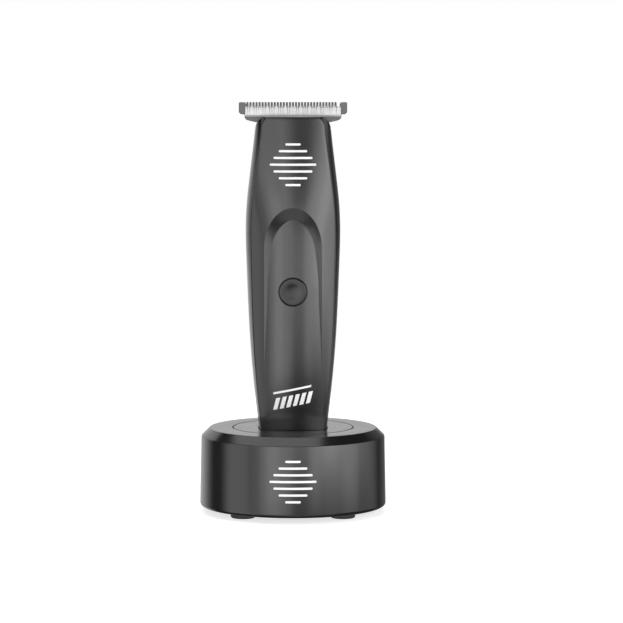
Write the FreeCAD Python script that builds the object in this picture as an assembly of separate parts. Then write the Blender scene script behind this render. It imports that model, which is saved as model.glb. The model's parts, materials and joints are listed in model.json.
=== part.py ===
import FreeCAD, Part
import math
import os

# Cordless T-blade hair trimmer standing upright in its round charging base, in millimetres.
# +Z is up, the side with the power button faces -Y, and the origin is the centre of the plane
# on which the rubber feet stand.

Vector = FreeCAD.Vector
X_AXIS = Vector(1, 0, 0)
Y_AXIS = Vector(0, 1, 0)
Z_AXIS = Vector(0, 0, 1)

# ---- driving dimensions: charging base ----
FOOT_HEIGHT = 2.2
FOOT_RADIUS = 4.8
FOOT_RECESS = 0.8
FOOT_X = 18.3
FOOT_Y = 17.0
BASE_TOP_Z = 31.4
BASE_RIM_RADIUS = 34.5
BASE_SHOULDER_RADIUS = 34.0
BASE_SHOULDER_Z = 28.4
BASE_TOP_RADIUS = 30.9
BASE_WALL = 2.2
RIM_ROUNDING = 1.4
SHOULDER_ROUNDING = 0.5
CRADLE_RADIUS = 22.15
CRADLE_SEAM = 0.3
CRADLE_THICKNESS = 2.1
LEDGE_THICKNESS = 1.6
LEDGE_WIDTH = 2.05
TOP_WALL = 2.4
SKIRT_OUTER_RADIUS = 20.15
SKIRT_INNER_RADIUS = 18.9
SKIRT_BOTTOM_Z = 26.0
HOOK_REACH = 21.5
HOOK_HALF_WIDTH = 3.2
POCKET_GAP = 0.6
POCKET_WALL = 1.9
PLATE_THICKNESS = 3.0
PLATE_RADIUS = 32.1
SCREW_BOSS_RADIUS = 2.3
BALLAST_RADIUS = 21.5
BALLAST_THICKNESS = 3.2
BASE_BOARD_Z = 9.5
BOARD_THICKNESS = 1.6
INLET_BORE_RADIUS = 2.8
INLET_BORE_DEPTH = 9.5
INLET_MOUTH_Y = 33.6
INLET_NOSE_RADIUS = 4.0
INLET_HALF_WIDTH = 4.6
INLET_BACK_Y = 22.4
INLET_FRONT_Y = 31.2

# ---- driving dimensions: charging contacts ----
CONTACT_X = 4.0
PIN_HOLE_RADIUS = 1.1
PIN_BOTTOM_Z = 13.2
PIN_FLANGE_BOTTOM_Z = 14.9
PIN_FLANGE_TOP_Z = 15.72
PIN_TIP_Z = 19.72
PIN_TAIL_RADIUS = 0.6
PIN_RADIUS = 0.85
PIN_FLANGE_RADIUS = 1.45
CONTACT_BLOCK_TOP_Z = 17.3
SPRING_WIRE_RADIUS = 0.16
SPRING_RADIUS = 1.05
SPRING_TURNS = 5
CONTACT_BOTTOM_Z = 19.8
CONTACT_SHOULDER_Z = 20.95
CONTACT_TOP_Z = 23.1
CONTACT_RADIUS = 1.6
CONTACT_STEM_RADIUS = 1.0
CONTACT_SEAT_Z = 21.0
CONTACT_BOARD_Z = 21.85
CONTACT_BOARD_THICKNESS = 0.8

# ---- driving dimensions: hand piece ----
# Each station of the hand piece: height, half width, depth to the front, depth to the back.
STATIONS = (
    (19.8, 11.30, 10.4, 10.4),
    (31.4, 12.60, 11.6, 11.5),
    (45.0, 14.15, 13.0, 12.6),
    (60.0, 15.55, 14.0, 13.3),
    (76.0, 16.50, 14.6, 13.8),
    (92.0, 17.13, 14.8, 13.8),
    (105.4, 17.45, 14.6, 12.9),
    (114.2, 17.10, 14.0, 11.5),
    (123.1, 16.19, 12.8, 9.3),
    (132.0, 15.13, 11.3, 7.0),
    (140.8, 14.12, 9.4, 5.4),
    (146.6, 13.60, 8.1, 4.9),
)
BODY_BOTTOM_Z = STATIONS[0][0]
BODY_TOP_Z = STATIONS[-1][0]
HEAD_CORNER_RADIUS = 4.6
FACE_RADIUS = 23.0
HEAD_FACE_RADIUS = 38.0
HEAD_FACE_START_Z = 105.0
HEAD_FACE_END_Z = 140.0
FACE_LIP = 0.35
FACE_SEAM = 0.15
FLANGE_GAP = 0.1
RIM_WIDTH = 1.3
HOUSING_WALL = 1.8
FLOOR_THICKNESS = 2.0
HEAD_TOP_WALL = 1.6
POST_RADIUS = 2.6
POST_MATE_Y = 4.0
SCREW_SEAT_Y = 5.6
SCREW_BORE_RADIUS = 2.2
SCREW_PASS_RADIUS = 1.15
SCREW_PILOT_RADIUS = 0.85
HEAD_OPENING_Z = 132.4
HEAD_OPENING_HALF_WIDTH = 11.0
CUTTER_OPENING_Z = 144.4
CUTTER_OPENING_HALF_WIDTH = 11.6
BLADE_OPENING_Z = 132.8
BLADE_OPENING_HALF_WIDTH = 12.5
WING_OPENING_Z = 144.1
BUTTON_Z = 82.8
BUTTON_RADIUS = 4.95
BUTTON_HOLE_RADIUS = 5.15
BUTTON_FRONT_Y = -14.42
BUTTON_BACK_Y = -11.6
BUTTON_FLANGE_RADIUS = 5.9
BUTTON_FLANGE_Y = -12.5
BUTTON_POCKET_RADIUS = 6.2
BUTTON_POCKET_Y = -12.6
BUTTON_GUIDE_RADIUS = 7.4
RECESS_TOP_Z = 111.5
RECESS_SPRING_Z = 98.5
RECESS_HALF_WIDTH = 9.6
RECESS_DEPTH = 1.5
RECESS_FADE_Z = 77.0
MOTOR_Y = 1.0
MOTOR_BOTTOM_Z = 84.0
MOTOR_TOP_Z = 109.0
MOTOR_RADIUS = 10.0
MOTOR_HALF_FLAT = 7.6
SHAFT_RADIUS = 1.0
BEARING_CLEARANCE = 0.03
BEARING_RADIUS = 1.88
BEARING_SEAT_RADIUS = 1.9
CAN_WALL = 0.9
MAGNET_OUTER_RADIUS = 8.95
MAGNET_INNER_RADIUS = 6.8
MAGNET_BOTTOM_Z = 88.0
MAGNET_TOP_Z = 106.0
ARMATURE_RADIUS = 6.4
ARMATURE_BOTTOM_Z = 90.0
ARMATURE_TOP_Z = 104.0
COMMUTATOR_RADIUS = 2.3
COMMUTATOR_BOTTOM_Z = 86.6
COMMUTATOR_TOP_Z = 89.6
MOTOR_SCREW_X = 6.0
MOUNT_THICKNESS = 1.6
MOUNT_HALF_WIDTH = 13.0
CAM_RADIUS = 3.3
CAM_BOTTOM_Z = 113.6
CAM_TOP_Z = 118.2
CRANK_PIN_RADIUS = 1.0
CRANK_PIN_TOP_Z = 125.0
ECCENTRICITY = 1.1
CELL_RADIUS = 7.1
CELL_Y = 1.5
CELL_BOTTOM_Z = 30.2
CELL_LENGTH = 50.0
TAB_THICKNESS = 0.3
TAB_HALF_WIDTH = 2.4
BOARD_BACK_Y = -8.0
BOARD_FRONT_Y = -9.2
BOARD_HALF_WIDTH = 8.5
BOARD_BOTTOM_Z = 45.4
BOARD_TOP_Z = 91.5
RAIL_X = 8.0
RAIL_HALF_THICKNESS = 0.6
FRAME_BOTTOM_Z = 28.2
FRAME_TOP_Z = 82.4
BULKHEAD_THICKNESS = 1.4
FRAME_BACK_Y = 4.0

# ---- driving dimensions: blade ----
BLADE_HALF_WIDTH = 20.0
BLADE_FRONT_Y = 2.4
BLADE_THICKNESS = 1.8
BLADE_TIP_Z = 151.7
BAR_BOTTOM_Z = 147.2
COMB_TEETH = 31
COMB_PITCH = 1.12
COMB_SLOT = 0.36
COMB_ROOT_Z = 147.0
CUTTER_HALF_WIDTH = 17.75
CUTTER_TIP_Z = 150.2
CUTTER_TEETH = 43
CUTTER_PITCH = 0.82
CUTTER_SLOT = 0.3
CUTTER_ROOT_Z = 147.0
CUTTER_BAR_BOTTOM_Z = 146.5
CUTTER_THICKNESS = 1.45
CUTTER_CLEARANCE = 0.05
CUTTER_STEM_HALF_WIDTH = 5.4
CUTTER_STEM_BOTTOM_Z = 134.6
CUTTER_SHOULDER_HALF_WIDTH = 10.2
CUTTER_PEG_X = 3.4
CUTTER_PEG_Z = 140.0
CARRIER_BOTTOM_Z = 125.4
CARRIER_FORK_TOP_Z = 131.4
CARRIER_TOP_Z = 142.6
CARRIER_SLOT_TOP_Z = 129.6
BRACKET_BOTTOM_Z = 132.6
BRACKET_TOP_Z = 144.3
BRACKET_HALF_WIDTH = 10.8
CHANNEL_HALF_WIDTH = 6.9
BLADE_SCREW_X = 8.9
BLADE_SCREW_Z = 138.5

BASE_UNDERSIDE_Z = FOOT_HEIGHT
PLATE_TOP_Z = BASE_UNDERSIDE_Z + PLATE_THICKNESS
BASE_BOARD_TOP_Z = BASE_BOARD_Z + BOARD_THICKNESS
INLET_Z = BASE_BOARD_TOP_Z + 4.3
CRADLE_LEDGE_Z = BASE_TOP_Z - CRADLE_THICKNESS
POCKET_FLOOR_Z = BODY_BOTTOM_Z - 0.3
FOOT_PLACES = [(sx * FOOT_X, sy * FOOT_Y) for sy in (-1, 1) for sx in (-1, 1)]
BASE_POST_PLACES = [(-8.5, -9.0), (8.5, -9.0), (-8.5, 19.0), (8.5, 19.0)]
HOUSING_SCREW_PLACES = [(-8.2, 121.0), (8.2, 121.0), (-6.4, 25.8), (6.4, 25.8)]
BOARD_SCREW_PLACES = [(-7.9, 47.6), (7.9, 47.6), (-7.9, 77.0), (7.9, 77.0)]
INLET_TAIL_PLACES = [(-3.2, 24.5), (3.2, 24.5), (0.0, 27.0)]
BLADE_BACK_Y = BLADE_FRONT_Y + BLADE_THICKNESS
CUTTER_BACK_Y = BLADE_FRONT_Y - CUTTER_CLEARANCE
CUTTER_FRONT_Y = CUTTER_BACK_Y - CUTTER_THICKNESS

# Longer than anything they cut: how far a cutting tool reaches past the part.
FAR = 40.0
ABOVE_ALL = 200.0


# ---- shape helpers ----
def box(x0, x1, y0, y1, z0, z1):
    return Part.makeBox(x1 - x0, y1 - y0, z1 - z0, Vector(x0, y0, z0))


def upright(radius, z0, z1, x=0.0, y=0.0):
    return Part.makeCylinder(radius, z1 - z0, Vector(x, y, z0))


def level(radius, y0, y1, x, z):
    """A cylinder that lies along Y."""
    return Part.makeCylinder(radius, y1 - y0, Vector(x, y0, z), Y_AXIS)


def joined(shapes):
    """One solid from shapes that overlap or meet."""
    solid = shapes[0]
    for shape in shapes[1:]:
        solid = solid.fuse(shape)
    return solid.removeSplitter()


def rounded_wire(points, radii):
    """A closed wire through points, with an arc of the given radius at each corner."""
    corners = []
    for i, point in enumerate(points):
        if radii[i] == 0:
            corners.append((point, None, point))
            continue
        back = (points[i - 1] - point).normalize()
        ahead = (points[(i + 1) % len(points)] - point).normalize()
        half = back.getAngle(ahead) / 2
        reach = radii[i] / math.tan(half)
        middle = (back + ahead).normalize() * (radii[i] / math.sin(half) - radii[i])
        corners.append((point + back * reach, point + middle, point + ahead * reach))
    edges = []
    for i, (start, middle, end) in enumerate(corners):
        if middle is not None:
            edges.append(Part.Arc(start, middle, end).toShape())
        following = corners[(i + 1) % len(corners)][0]
        if (following - end).Length > 1e-6:
            edges.append(Part.makeLine(end, following))
    return Part.Wire(edges)


def turned(profile, radii=None):
    """A solid of revolution about Z from (radius, height) corners."""
    points = [Vector(r, 0, z) for r, z in profile]
    wire = rounded_wire(points, radii or [0] * len(points))
    return Part.Face(wire).revolve(Vector(0, 0, 0), Z_AXIS, 360)


def plate_y(outline, radii, y0, y1):
    """A plate between y0 and y1 from an outline of (x, z) corners."""
    points = [Vector(x, y0, z) for x, z in outline]
    return Part.Face(rounded_wire(points, radii)).extrude(Vector(0, y1 - y0, 0))


def mirrored_outline(right_side):
    """The whole outline from its right half, listed from the bottom centre upwards."""
    return right_side + [(-x, z) for x, z in reversed(right_side)]


def spline(points):
    """An interpolated curve whose knots are evenly spaced, so that curves like it loft cleanly."""
    last = len(points) - 1
    curve = Part.BSplineCurve()
    curve.interpolate(Points=points, Parameters=[i / last for i in range(len(points))])
    return curve.toShape()


def lofted(wires):
    return Part.makeLoft(wires, True, False)


def screw(head_radius, head_height, shank_radius, shank_length, slot_depth=0.5):
    """A pan-head cross-recess screw: head below z = 0, shank above."""
    head = turned([(0, -head_height), (head_radius, -head_height), (head_radius, 0), (0, 0)],
                  [0, head_height * 0.45, 0, 0])
    shank = turned([(0, -0.1), (shank_radius, -0.1), (shank_radius, shank_length - shank_radius),
                    (0, shank_length)])
    solid = joined([head, shank])
    arm = head_radius * 0.62
    wide = head_radius * 0.14
    bottom = -head_height - 0.1
    for a, b in ((arm, wide), (wide, arm)):
        solid = solid.cut(box(-a, a, -b, b, bottom, -head_height + slot_depth))
    return solid


def placed(shape, position, rotation=None):
    moved = shape.copy()
    if rotation is not None:
        moved.Placement = FreeCAD.Placement(position, rotation)
    else:
        moved.translate(position)
    return moved


def save(name, shape):
    shape.exportStep("parts/" + name + ".step")


# ---- hand piece sections ----
def face_inset(z):
    """How far the front face's edge lies inside the silhouette."""
    return 0.38 + 0.0127 * z


def face_radius(z):
    """The radius of the front face across its width: flatter towards the head."""
    share = (z - HEAD_FACE_START_Z) / (HEAD_FACE_END_Z - HEAD_FACE_START_Z)
    return FACE_RADIUS + (HEAD_FACE_RADIUS - FACE_RADIUS) * min(1.0, max(0.0, share))


def face_drop(z, x):
    """How far the front face has fallen back at a distance x from its middle."""
    radius = face_radius(z)
    return radius - math.sqrt(radius ** 2 - x ** 2)


def crease_y(z, half_width, front):
    """The depth of the parting line between the front and rear housings."""
    return face_drop(z, half_width - face_inset(z)) - front


def rear_points(half_width, face_half, crease, back):
    """The rear outline at one height: right edge strip, rounded back, left edge strip."""
    strip_steps = 4
    back_steps = 14
    right = []
    for i in range(strip_steps, 0, -1):
        u = i / strip_steps
        right.append((half_width - (half_width - face_half) * u ** 2.6, crease * u))
    around = []
    for i in range(back_steps + 1):
        turn = math.pi * i / back_steps
        cosine = math.cos(turn)
        x = math.copysign(half_width * abs(cosine) ** 0.82, cosine)
        around.append((x, back * math.sin(turn) ** 0.82))
    left = [(-x, y) for x, y in reversed(right)]
    return right + around + left


def rear_wire(station, wall=0.0, rim=0.0, forward=0.0):
    """The rear housing's outline, thinned by wall, closed across the front by a straight line."""
    z, half_width, front, back = station
    face_half = half_width - face_inset(z) - rim
    crease = crease_y(z, half_width, front) - forward
    points = [Vector(x, y, z) for x, y in
              rear_points(half_width - wall, face_half, crease, back - wall)]
    return Part.Wire([spline(points), Part.makeLine(points[-1], points[0])])


def crown_points(z, half, front, flatten=1.0, steps=8):
    """The front face at one height: a shallow arc, from the left edge to the right one."""
    points = []
    for i in range(steps + 1):
        x = half * (2 * i / steps - 1)
        points.append(Vector(x, flatten * face_drop(z, x) - front, z))
    return points


def crown_wire(z, half, front, back_y, flatten=1.0):
    """A closed outline: crown in front, straight sides and a straight back at back_y."""
    points = crown_points(z, half, front, flatten)
    right_back = Vector(half, back_y, z)
    left_back = Vector(-half, back_y, z)
    return Part.Wire([
        spline(points),
        Part.makeLine(points[-1], right_back),
        Part.makeLine(right_back, left_back),
        Part.makeLine(left_back, points[0]),
    ])


def block_wire(z, half, y0, y1):
    corners = [Vector(-half, y0, z), Vector(half, y0, z), Vector(half, y1, z), Vector(-half, y1, z)]
    return Part.makePolygon(corners + corners[:1])


def outline_wire(station, grow):
    """The whole hand piece's outline at one height, grown outwards."""
    z, half_width, front, back = station
    half_width += grow
    front += grow
    face_half = half_width - face_inset(z)
    rear = [Vector(x, y, z) for x, y in
            rear_points(half_width, face_half, crease_y(z, half_width, front), back + grow)]
    face = crown_points(z, face_half, front)
    return Part.Wire([spline(rear), spline(face)])


def head_corners():
    """The two spaces outside the head's rounded upper corners, cut from both housings."""
    centre_x = STATIONS[-1][1] + 0.3 - HEAD_CORNER_RADIUS
    centre_z = BODY_TOP_Z - HEAD_CORNER_RADIUS
    corner = box(centre_x, 25.0, -30.0, 30.0, centre_z, BODY_TOP_Z + 5)
    corner = corner.cut(level(HEAD_CORNER_RADIUS, -31.0, 31.0, centre_x, centre_z))
    return [corner, corner.mirror(Vector(0, 0, 0), X_AXIS)]


# ---- charging base ----
def make_base_shell():
    inner = BASE_RIM_RADIUS - BASE_WALL
    lip = CRADLE_RADIUS + CRADLE_SEAM
    profile = [
        (BASE_RIM_RADIUS, BASE_UNDERSIDE_Z),
        (BASE_SHOULDER_RADIUS, BASE_SHOULDER_Z),
        (BASE_TOP_RADIUS, BASE_TOP_Z),
        (lip, BASE_TOP_Z),
        (lip, CRADLE_LEDGE_Z),
        (lip - LEDGE_WIDTH, CRADLE_LEDGE_Z),
        (lip - LEDGE_WIDTH, CRADLE_LEDGE_Z - LEDGE_THICKNESS),
        (lip + 0.6, CRADLE_LEDGE_Z - LEDGE_THICKNESS),
        (lip + 0.6, BASE_TOP_Z - TOP_WALL),
        (BASE_TOP_RADIUS - 0.9, BASE_TOP_Z - TOP_WALL),
        (BASE_SHOULDER_RADIUS - BASE_WALL, BASE_SHOULDER_Z - 1.0),
        (inner, BASE_UNDERSIDE_Z),
    ]
    radii = [RIM_ROUNDING, SHOULDER_ROUNDING, SHOULDER_ROUNDING, 0.25, 0, 0.2, 0.2, 0, 0, 0.6, 0.8, 0]
    shell = turned(profile, radii)
    for x, y in FOOT_PLACES:
        boss = upright(SCREW_BOSS_RADIUS, PLATE_TOP_Z, BASE_TOP_Z - 2.0, x, y)
        gusset = box(-0.6, 0.6, 0, 7.6, 12.0, BASE_TOP_Z - 2.0)
        gusset.rotate(Vector(0, 0, 0), Z_AXIS, math.degrees(math.atan2(y, x)) - 90)
        gusset.translate(Vector(x, y, 0))
        shell = shell.fuse([boss, gusset])
    shell = shell.removeSplitter()
    for x, y in FOOT_PLACES:
        shell = shell.cut(upright(0.8, PLATE_TOP_Z - 0.1, 15.0, x, y))
    return shell.cut(level(INLET_NOSE_RADIUS + 0.2, 20.0, FAR, 0, INLET_Z))


def snap_hook(angle):
    """One catch of the cradle, which reaches under the shell's ledge."""
    root = SKIRT_OUTER_RADIUS - 0.05
    catch_z = CRADLE_LEDGE_Z - LEDGE_THICKNESS - 0.05
    hook = turned([(root, SKIRT_BOTTOM_Z), (root + 0.2, SKIRT_BOTTOM_Z),
                   (HOOK_REACH, SKIRT_BOTTOM_Z + 1.0), (HOOK_REACH, catch_z), (root, catch_z)])
    wedge = box(0, FAR, -HOOK_HALF_WIDTH, HOOK_HALF_WIDTH, SKIRT_BOTTOM_Z - 1.0, BASE_TOP_Z)
    wedge.rotate(Vector(0, 0, 0), Z_AXIS, angle)
    return hook.common(wedge)


def make_base_cradle():
    disc = turned([(0, CRADLE_LEDGE_Z), (CRADLE_RADIUS, CRADLE_LEDGE_Z),
                   (CRADLE_RADIUS, BASE_TOP_Z), (0, BASE_TOP_Z)], [0, 0, 0.25, 0])
    skirt_top = CRADLE_LEDGE_Z + 0.5
    skirt = turned([(SKIRT_INNER_RADIUS, SKIRT_BOTTOM_Z), (SKIRT_OUTER_RADIUS, SKIRT_BOTTOM_Z),
                    (SKIRT_OUTER_RADIUS, skirt_top), (SKIRT_INNER_RADIUS, skirt_top)])
    low, high = STATIONS[0], STATIONS[1]
    rise = (BASE_TOP_Z + 1.0 - low[0]) / (high[0] - low[0])
    mouth = tuple(a + (b - a) * rise for a, b in zip(low, high))
    foot = (POCKET_FLOOR_Z,) + low[1:]
    root = (POCKET_FLOOR_Z - 2.0,) + low[1:]
    pocket = lofted([outline_wire(foot, POCKET_GAP), outline_wire(mouth, POCKET_GAP + 0.05)])
    well = lofted([outline_wire(root, POCKET_WALL), outline_wire(mouth, POCKET_WALL)])
    well = well.common(upright(FAR, 0, CRADLE_LEDGE_Z + 1.0))
    cradle = joined([disc, skirt, well] + [snap_hook(a) for a in (0, 90, 180, 270)])
    cradle = cradle.cut(pocket)
    for side in (-1, 1):
        cradle = cradle.cut(upright(PIN_HOLE_RADIUS, 15, 25, side * CONTACT_X))
    return cradle


def make_bottom_plate():
    plate = turned([(0, BASE_UNDERSIDE_Z), (PLATE_RADIUS, BASE_UNDERSIDE_Z),
                    (PLATE_RADIUS, PLATE_TOP_Z), (0, PLATE_TOP_Z)], [0, 0.5, 0.3, 0])
    posts = [upright(1.9, PLATE_TOP_Z - 0.5, BASE_BOARD_Z, x, y) for x, y in BASE_POST_PLACES]
    plate = joined([plate] + posts)
    for x, y in FOOT_PLACES:
        plate = plate.cut(upright(FOOT_RADIUS + 0.1, 0, BASE_UNDERSIDE_Z + FOOT_RECESS, x, y))
        plate = plate.cut(upright(2.2, 0, PLATE_TOP_Z - 1.0, x, y))
        plate = plate.cut(upright(1.2, 0, PLATE_TOP_Z + 1.0, x, y))
    for x, y in BASE_POST_PLACES:
        plate = plate.cut(upright(0.7, PLATE_TOP_Z - 1.0, BASE_BOARD_Z + 1.0, x, y))
    return plate


def make_foot():
    top = BASE_UNDERSIDE_Z + FOOT_RECESS
    return turned([(0, 0), (FOOT_RADIUS - 0.3, 0), (FOOT_RADIUS, top), (0, top)], [0, 0.7, 0.2, 0])


def make_ballast():
    plate = turned([(0, PLATE_TOP_Z), (BALLAST_RADIUS, PLATE_TOP_Z),
                    (BALLAST_RADIUS, PLATE_TOP_Z + BALLAST_THICKNESS),
                    (0, PLATE_TOP_Z + BALLAST_THICKNESS)], [0, 0.3, 0.3, 0])
    for x, y in BASE_POST_PLACES:
        plate = plate.cut(upright(2.3, 0, 20, x, y))
    return plate


def make_base_board():
    board = plate_z([(-11, -12), (11, -12), (11, 28), (-11, 28)], 1.5,
                    BASE_BOARD_Z, BASE_BOARD_TOP_Z)
    for x, y in BASE_POST_PLACES:
        board = board.cut(upright(1.05, 0, 20, x, y))
    for x, y in INLET_TAIL_PLACES:
        board = board.cut(box(x - 0.6, x + 0.6, y - 0.25, y + 0.25, 0, 20))
    return board


def plate_z(corners, radius, z0, z1):
    points = [Vector(x, y, z0) for x, y in corners]
    wire = rounded_wire(points, [radius] * len(points))
    return Part.Face(wire).extrude(Vector(0, 0, z1 - z0))


def make_contact_block():
    block = plate_z([(-7.5, -3.4), (7.5, -3.4), (7.5, 3.4), (-7.5, 3.4)], 0.8,
                    BASE_BOARD_TOP_Z, CONTACT_BLOCK_TOP_Z)
    for side in (-1, 1):
        x = side * CONTACT_X
        block = block.cut(upright(PIN_FLANGE_RADIUS + 0.1, 0, PIN_FLANGE_TOP_Z + 0.08, x))
        block = block.cut(upright(PIN_RADIUS + 0.05, 0, FAR, x))
    return block


def make_contact_pin(x):
    profile = [
        (0, PIN_BOTTOM_Z),
        (PIN_TAIL_RADIUS, PIN_BOTTOM_Z),
        (PIN_TAIL_RADIUS, PIN_FLANGE_BOTTOM_Z),
        (PIN_FLANGE_RADIUS, PIN_FLANGE_BOTTOM_Z),
        (PIN_FLANGE_RADIUS, PIN_FLANGE_TOP_Z),
        (PIN_RADIUS, PIN_FLANGE_TOP_Z),
        (PIN_RADIUS, PIN_TIP_Z),
        (0, PIN_TIP_Z),
    ]
    pin = turned(profile, [0, 0.2, 0, 0.1, 0.1, 0, 0.6, 0])
    return placed(pin, Vector(x, 0, 0))


def make_contact_spring(x):
    """A coil spring between the board and the pin's flange, its wire an octagon in section."""
    wire = SPRING_WIRE_RADIUS
    coil = SPRING_RADIUS
    turns = SPRING_TURNS
    steps = 12 * turns
    bottom = BASE_BOARD_TOP_Z + wire + 0.03
    length = PIN_FLANGE_BOTTOM_Z - wire - 0.05 - bottom
    sections = []
    for i in range(steps + 1):
        angle = 2 * math.pi * turns * i / steps
        outward = Vector(math.cos(angle), math.sin(angle), 0)
        along = Vector(-math.sin(angle), math.cos(angle), length / (2 * math.pi * coil * turns))
        across = along.normalize().cross(outward)
        centre = outward * coil + Vector(x, 0, bottom + length * i / steps)
        ring = []
        for corner in range(8):
            turn = math.pi * corner / 4
            ring.append(centre + outward * (wire * math.cos(turn)) + across * (wire * math.sin(turn)))
        sections.append(Part.makePolygon(ring + ring[:1]))
    return Part.makeLoft(sections, True, True)


def make_power_inlet():
    body = box(-INLET_HALF_WIDTH, INLET_HALF_WIDTH, INLET_BACK_Y, INLET_FRONT_Y,
               BASE_BOARD_TOP_Z, INLET_Z + 4.3)
    nose = level(INLET_NOSE_RADIUS, INLET_FRONT_Y - 1.2, INLET_MOUTH_Y, 0, INLET_Z)
    inlet = joined([body, nose])
    return inlet.cut(level(INLET_BORE_RADIUS, INLET_MOUTH_Y - INLET_BORE_DEPTH,
                           INLET_MOUTH_Y + 1, 0, INLET_Z))


def make_inlet_terminals():
    """Three solder tails that run from the inlet's body down through the board."""
    tails = []
    for x, y in INLET_TAIL_PLACES:
        tails.append(box(x - 0.5, x + 0.5, y - 0.15, y + 0.15, 8.9, BASE_BOARD_TOP_Z))
    return tails


# ---- hand piece housings ----
def make_rear_housing():
    outer = lofted([rear_wire(s) for s in STATIONS])
    cavity = lofted([rear_wire(s, HOUSING_WALL, RIM_WIDTH, 1.0) for s in STATIONS])
    cavity = cavity.common(box(-FAR, FAR, -FAR, FAR, BODY_BOTTOM_Z + FLOOR_THICKNESS, ABOVE_ALL))
    shell = outer.cut(cavity)
    posts = []
    for x, z in HOUSING_SCREW_PLACES:
        post = level(POST_RADIUS, POST_MATE_Y, 20, x, z)
        posts.append(post.common(outer))
    shell = joined([shell] + posts)
    for corner in head_corners():
        shell = shell.cut(corner)
    for x, z in HOUSING_SCREW_PLACES:
        shell = shell.cut(level(SCREW_PASS_RADIUS, 0, 20, x, z))
        shell = shell.cut(level(SCREW_BORE_RADIUS, SCREW_SEAT_Y, 25, x, z))
    openings = [
        (HEAD_OPENING_HALF_WIDTH, -5.2, 10.0, HEAD_OPENING_Z),
        (CUTTER_OPENING_HALF_WIDTH, CUTTER_FRONT_Y - 0.3, 10.0, CUTTER_OPENING_Z),
        (BLADE_OPENING_HALF_WIDTH, BLADE_FRONT_Y - 0.1, FAR, BLADE_OPENING_Z),
        (FAR, BLADE_FRONT_Y - 0.1, FAR, WING_OPENING_Z),
    ]
    for half, y0, y1, z0 in openings:
        shell = shell.cut(box(-half, half, y0, y1, z0, ABOVE_ALL))
    for side in (-1, 1):
        x = side * CONTACT_X
        shell = shell.cut(upright(CONTACT_RADIUS + 0.15, 10, CONTACT_SEAT_Z, x))
        shell = shell.cut(upright(CONTACT_STEM_RADIUS + 0.15, 10, 30, x))
    return shell


def recess_depth(z):
    """Depth of the thumb recess's floor below the front face, fading out towards the button."""
    return RECESS_DEPTH * (z - RECESS_FADE_Z) / (RECESS_TOP_Z - RECESS_FADE_Z)


def make_recess_tool():
    """The space of the thumb recess: a round-topped slot whose floor is curved like the face."""
    arch = []
    steps = 12
    rise = RECESS_TOP_Z - RECESS_SPRING_Z
    for i in range(steps + 1):
        turn = math.pi * i / steps
        arch.append(Vector(RECESS_HALF_WIDTH * math.cos(turn), -FAR,
                           RECESS_SPRING_Z + rise * math.sin(turn)))
    right_foot = Vector(RECESS_HALF_WIDTH, -FAR, RECESS_FADE_Z - 10)
    left_foot = Vector(-RECESS_HALF_WIDTH, -FAR, RECESS_FADE_Z - 10)
    outline = Part.Wire([
        Part.makeLine(right_foot, arch[0]),
        spline(arch),
        Part.makeLine(arch[-1], left_foot),
        Part.makeLine(left_foot, right_foot),
    ])
    slot = Part.Face(outline).extrude(Vector(0, FAR - 5.0, 0))
    above_floor = []
    for z, half_width, front, back in STATIONS[3:10]:
        edge = half_width - face_inset(z)
        above_floor.append(crown_wire(z, edge + 2, front - recess_depth(z), -FAR - 10))
    return slot.common(lofted(above_floor))


def face_wall(z):
    """The front housing's thickness, greater behind the thumb recess."""
    return 1.8 + 1.5 * math.exp(-((z - 98.0) / 20.0) ** 2)


def make_front_housing():
    panel = []
    flange = []
    cavity = []
    for z, half_width, front, back in STATIONS:
        edge = half_width - face_inset(z)
        land = crease_y(z, half_width, front)
        inner = edge - RIM_WIDTH - FLANGE_GAP
        flatten = 1.0 - FACE_LIP / (front + land)
        panel.append(crown_wire(z, edge - FACE_SEAM, front, land - 0.05, flatten))
        flange.append(block_wire(z, inner, land - 0.3, land + 1.6))
        cavity.append(crown_wire(z, inner - 1.3, front - face_wall(z), land + 3.0))
    floor_z = BODY_BOTTOM_Z + FLOOR_THICKNESS
    above_floor = box(-FAR, FAR, -FAR, FAR, floor_z + 0.1, ABOVE_ALL)
    hollow_top = BODY_TOP_Z - HEAD_TOP_WALL
    hollow = lofted(cavity).common(box(-FAR, FAR, -FAR, FAR, floor_z - 0.2, hollow_top))
    shell = joined([lofted(panel), lofted(flange).common(above_floor)]).cut(hollow)
    top_wall = plate_z([(-9.8, -6.4), (9.8, -6.4), (11.2, -3.0), (11.3, 0.4), (-11.3, 0.4),
                        (-11.2, -3.0)], 0, hollow_top, BODY_TOP_Z)
    posts = []
    for x, z in HOUSING_SCREW_PLACES:
        root_y = -9.6 if z > BUTTON_Z else -8.8
        posts.append(level(SCREW_BOSS_RADIUS, root_y, POST_MATE_Y - 0.1, x, z))
    guide = level(BUTTON_GUIDE_RADIUS, -13.0, -11.2, 0, BUTTON_Z)
    shell = joined([shell, top_wall, guide] + posts)
    for corner in head_corners():
        shell = shell.cut(corner)
    for x, z in HOUSING_SCREW_PLACES:
        shell = shell.cut(level(SCREW_PILOT_RADIUS, -5.0, 5.0, x, z))
    shell = shell.cut(make_recess_tool())
    shell = shell.cut(level(BUTTON_HOLE_RADIUS, -20, 0, 0, BUTTON_Z))
    return shell.cut(level(BUTTON_POCKET_RADIUS, BUTTON_POCKET_Y, -5, 0, BUTTON_Z))


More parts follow.
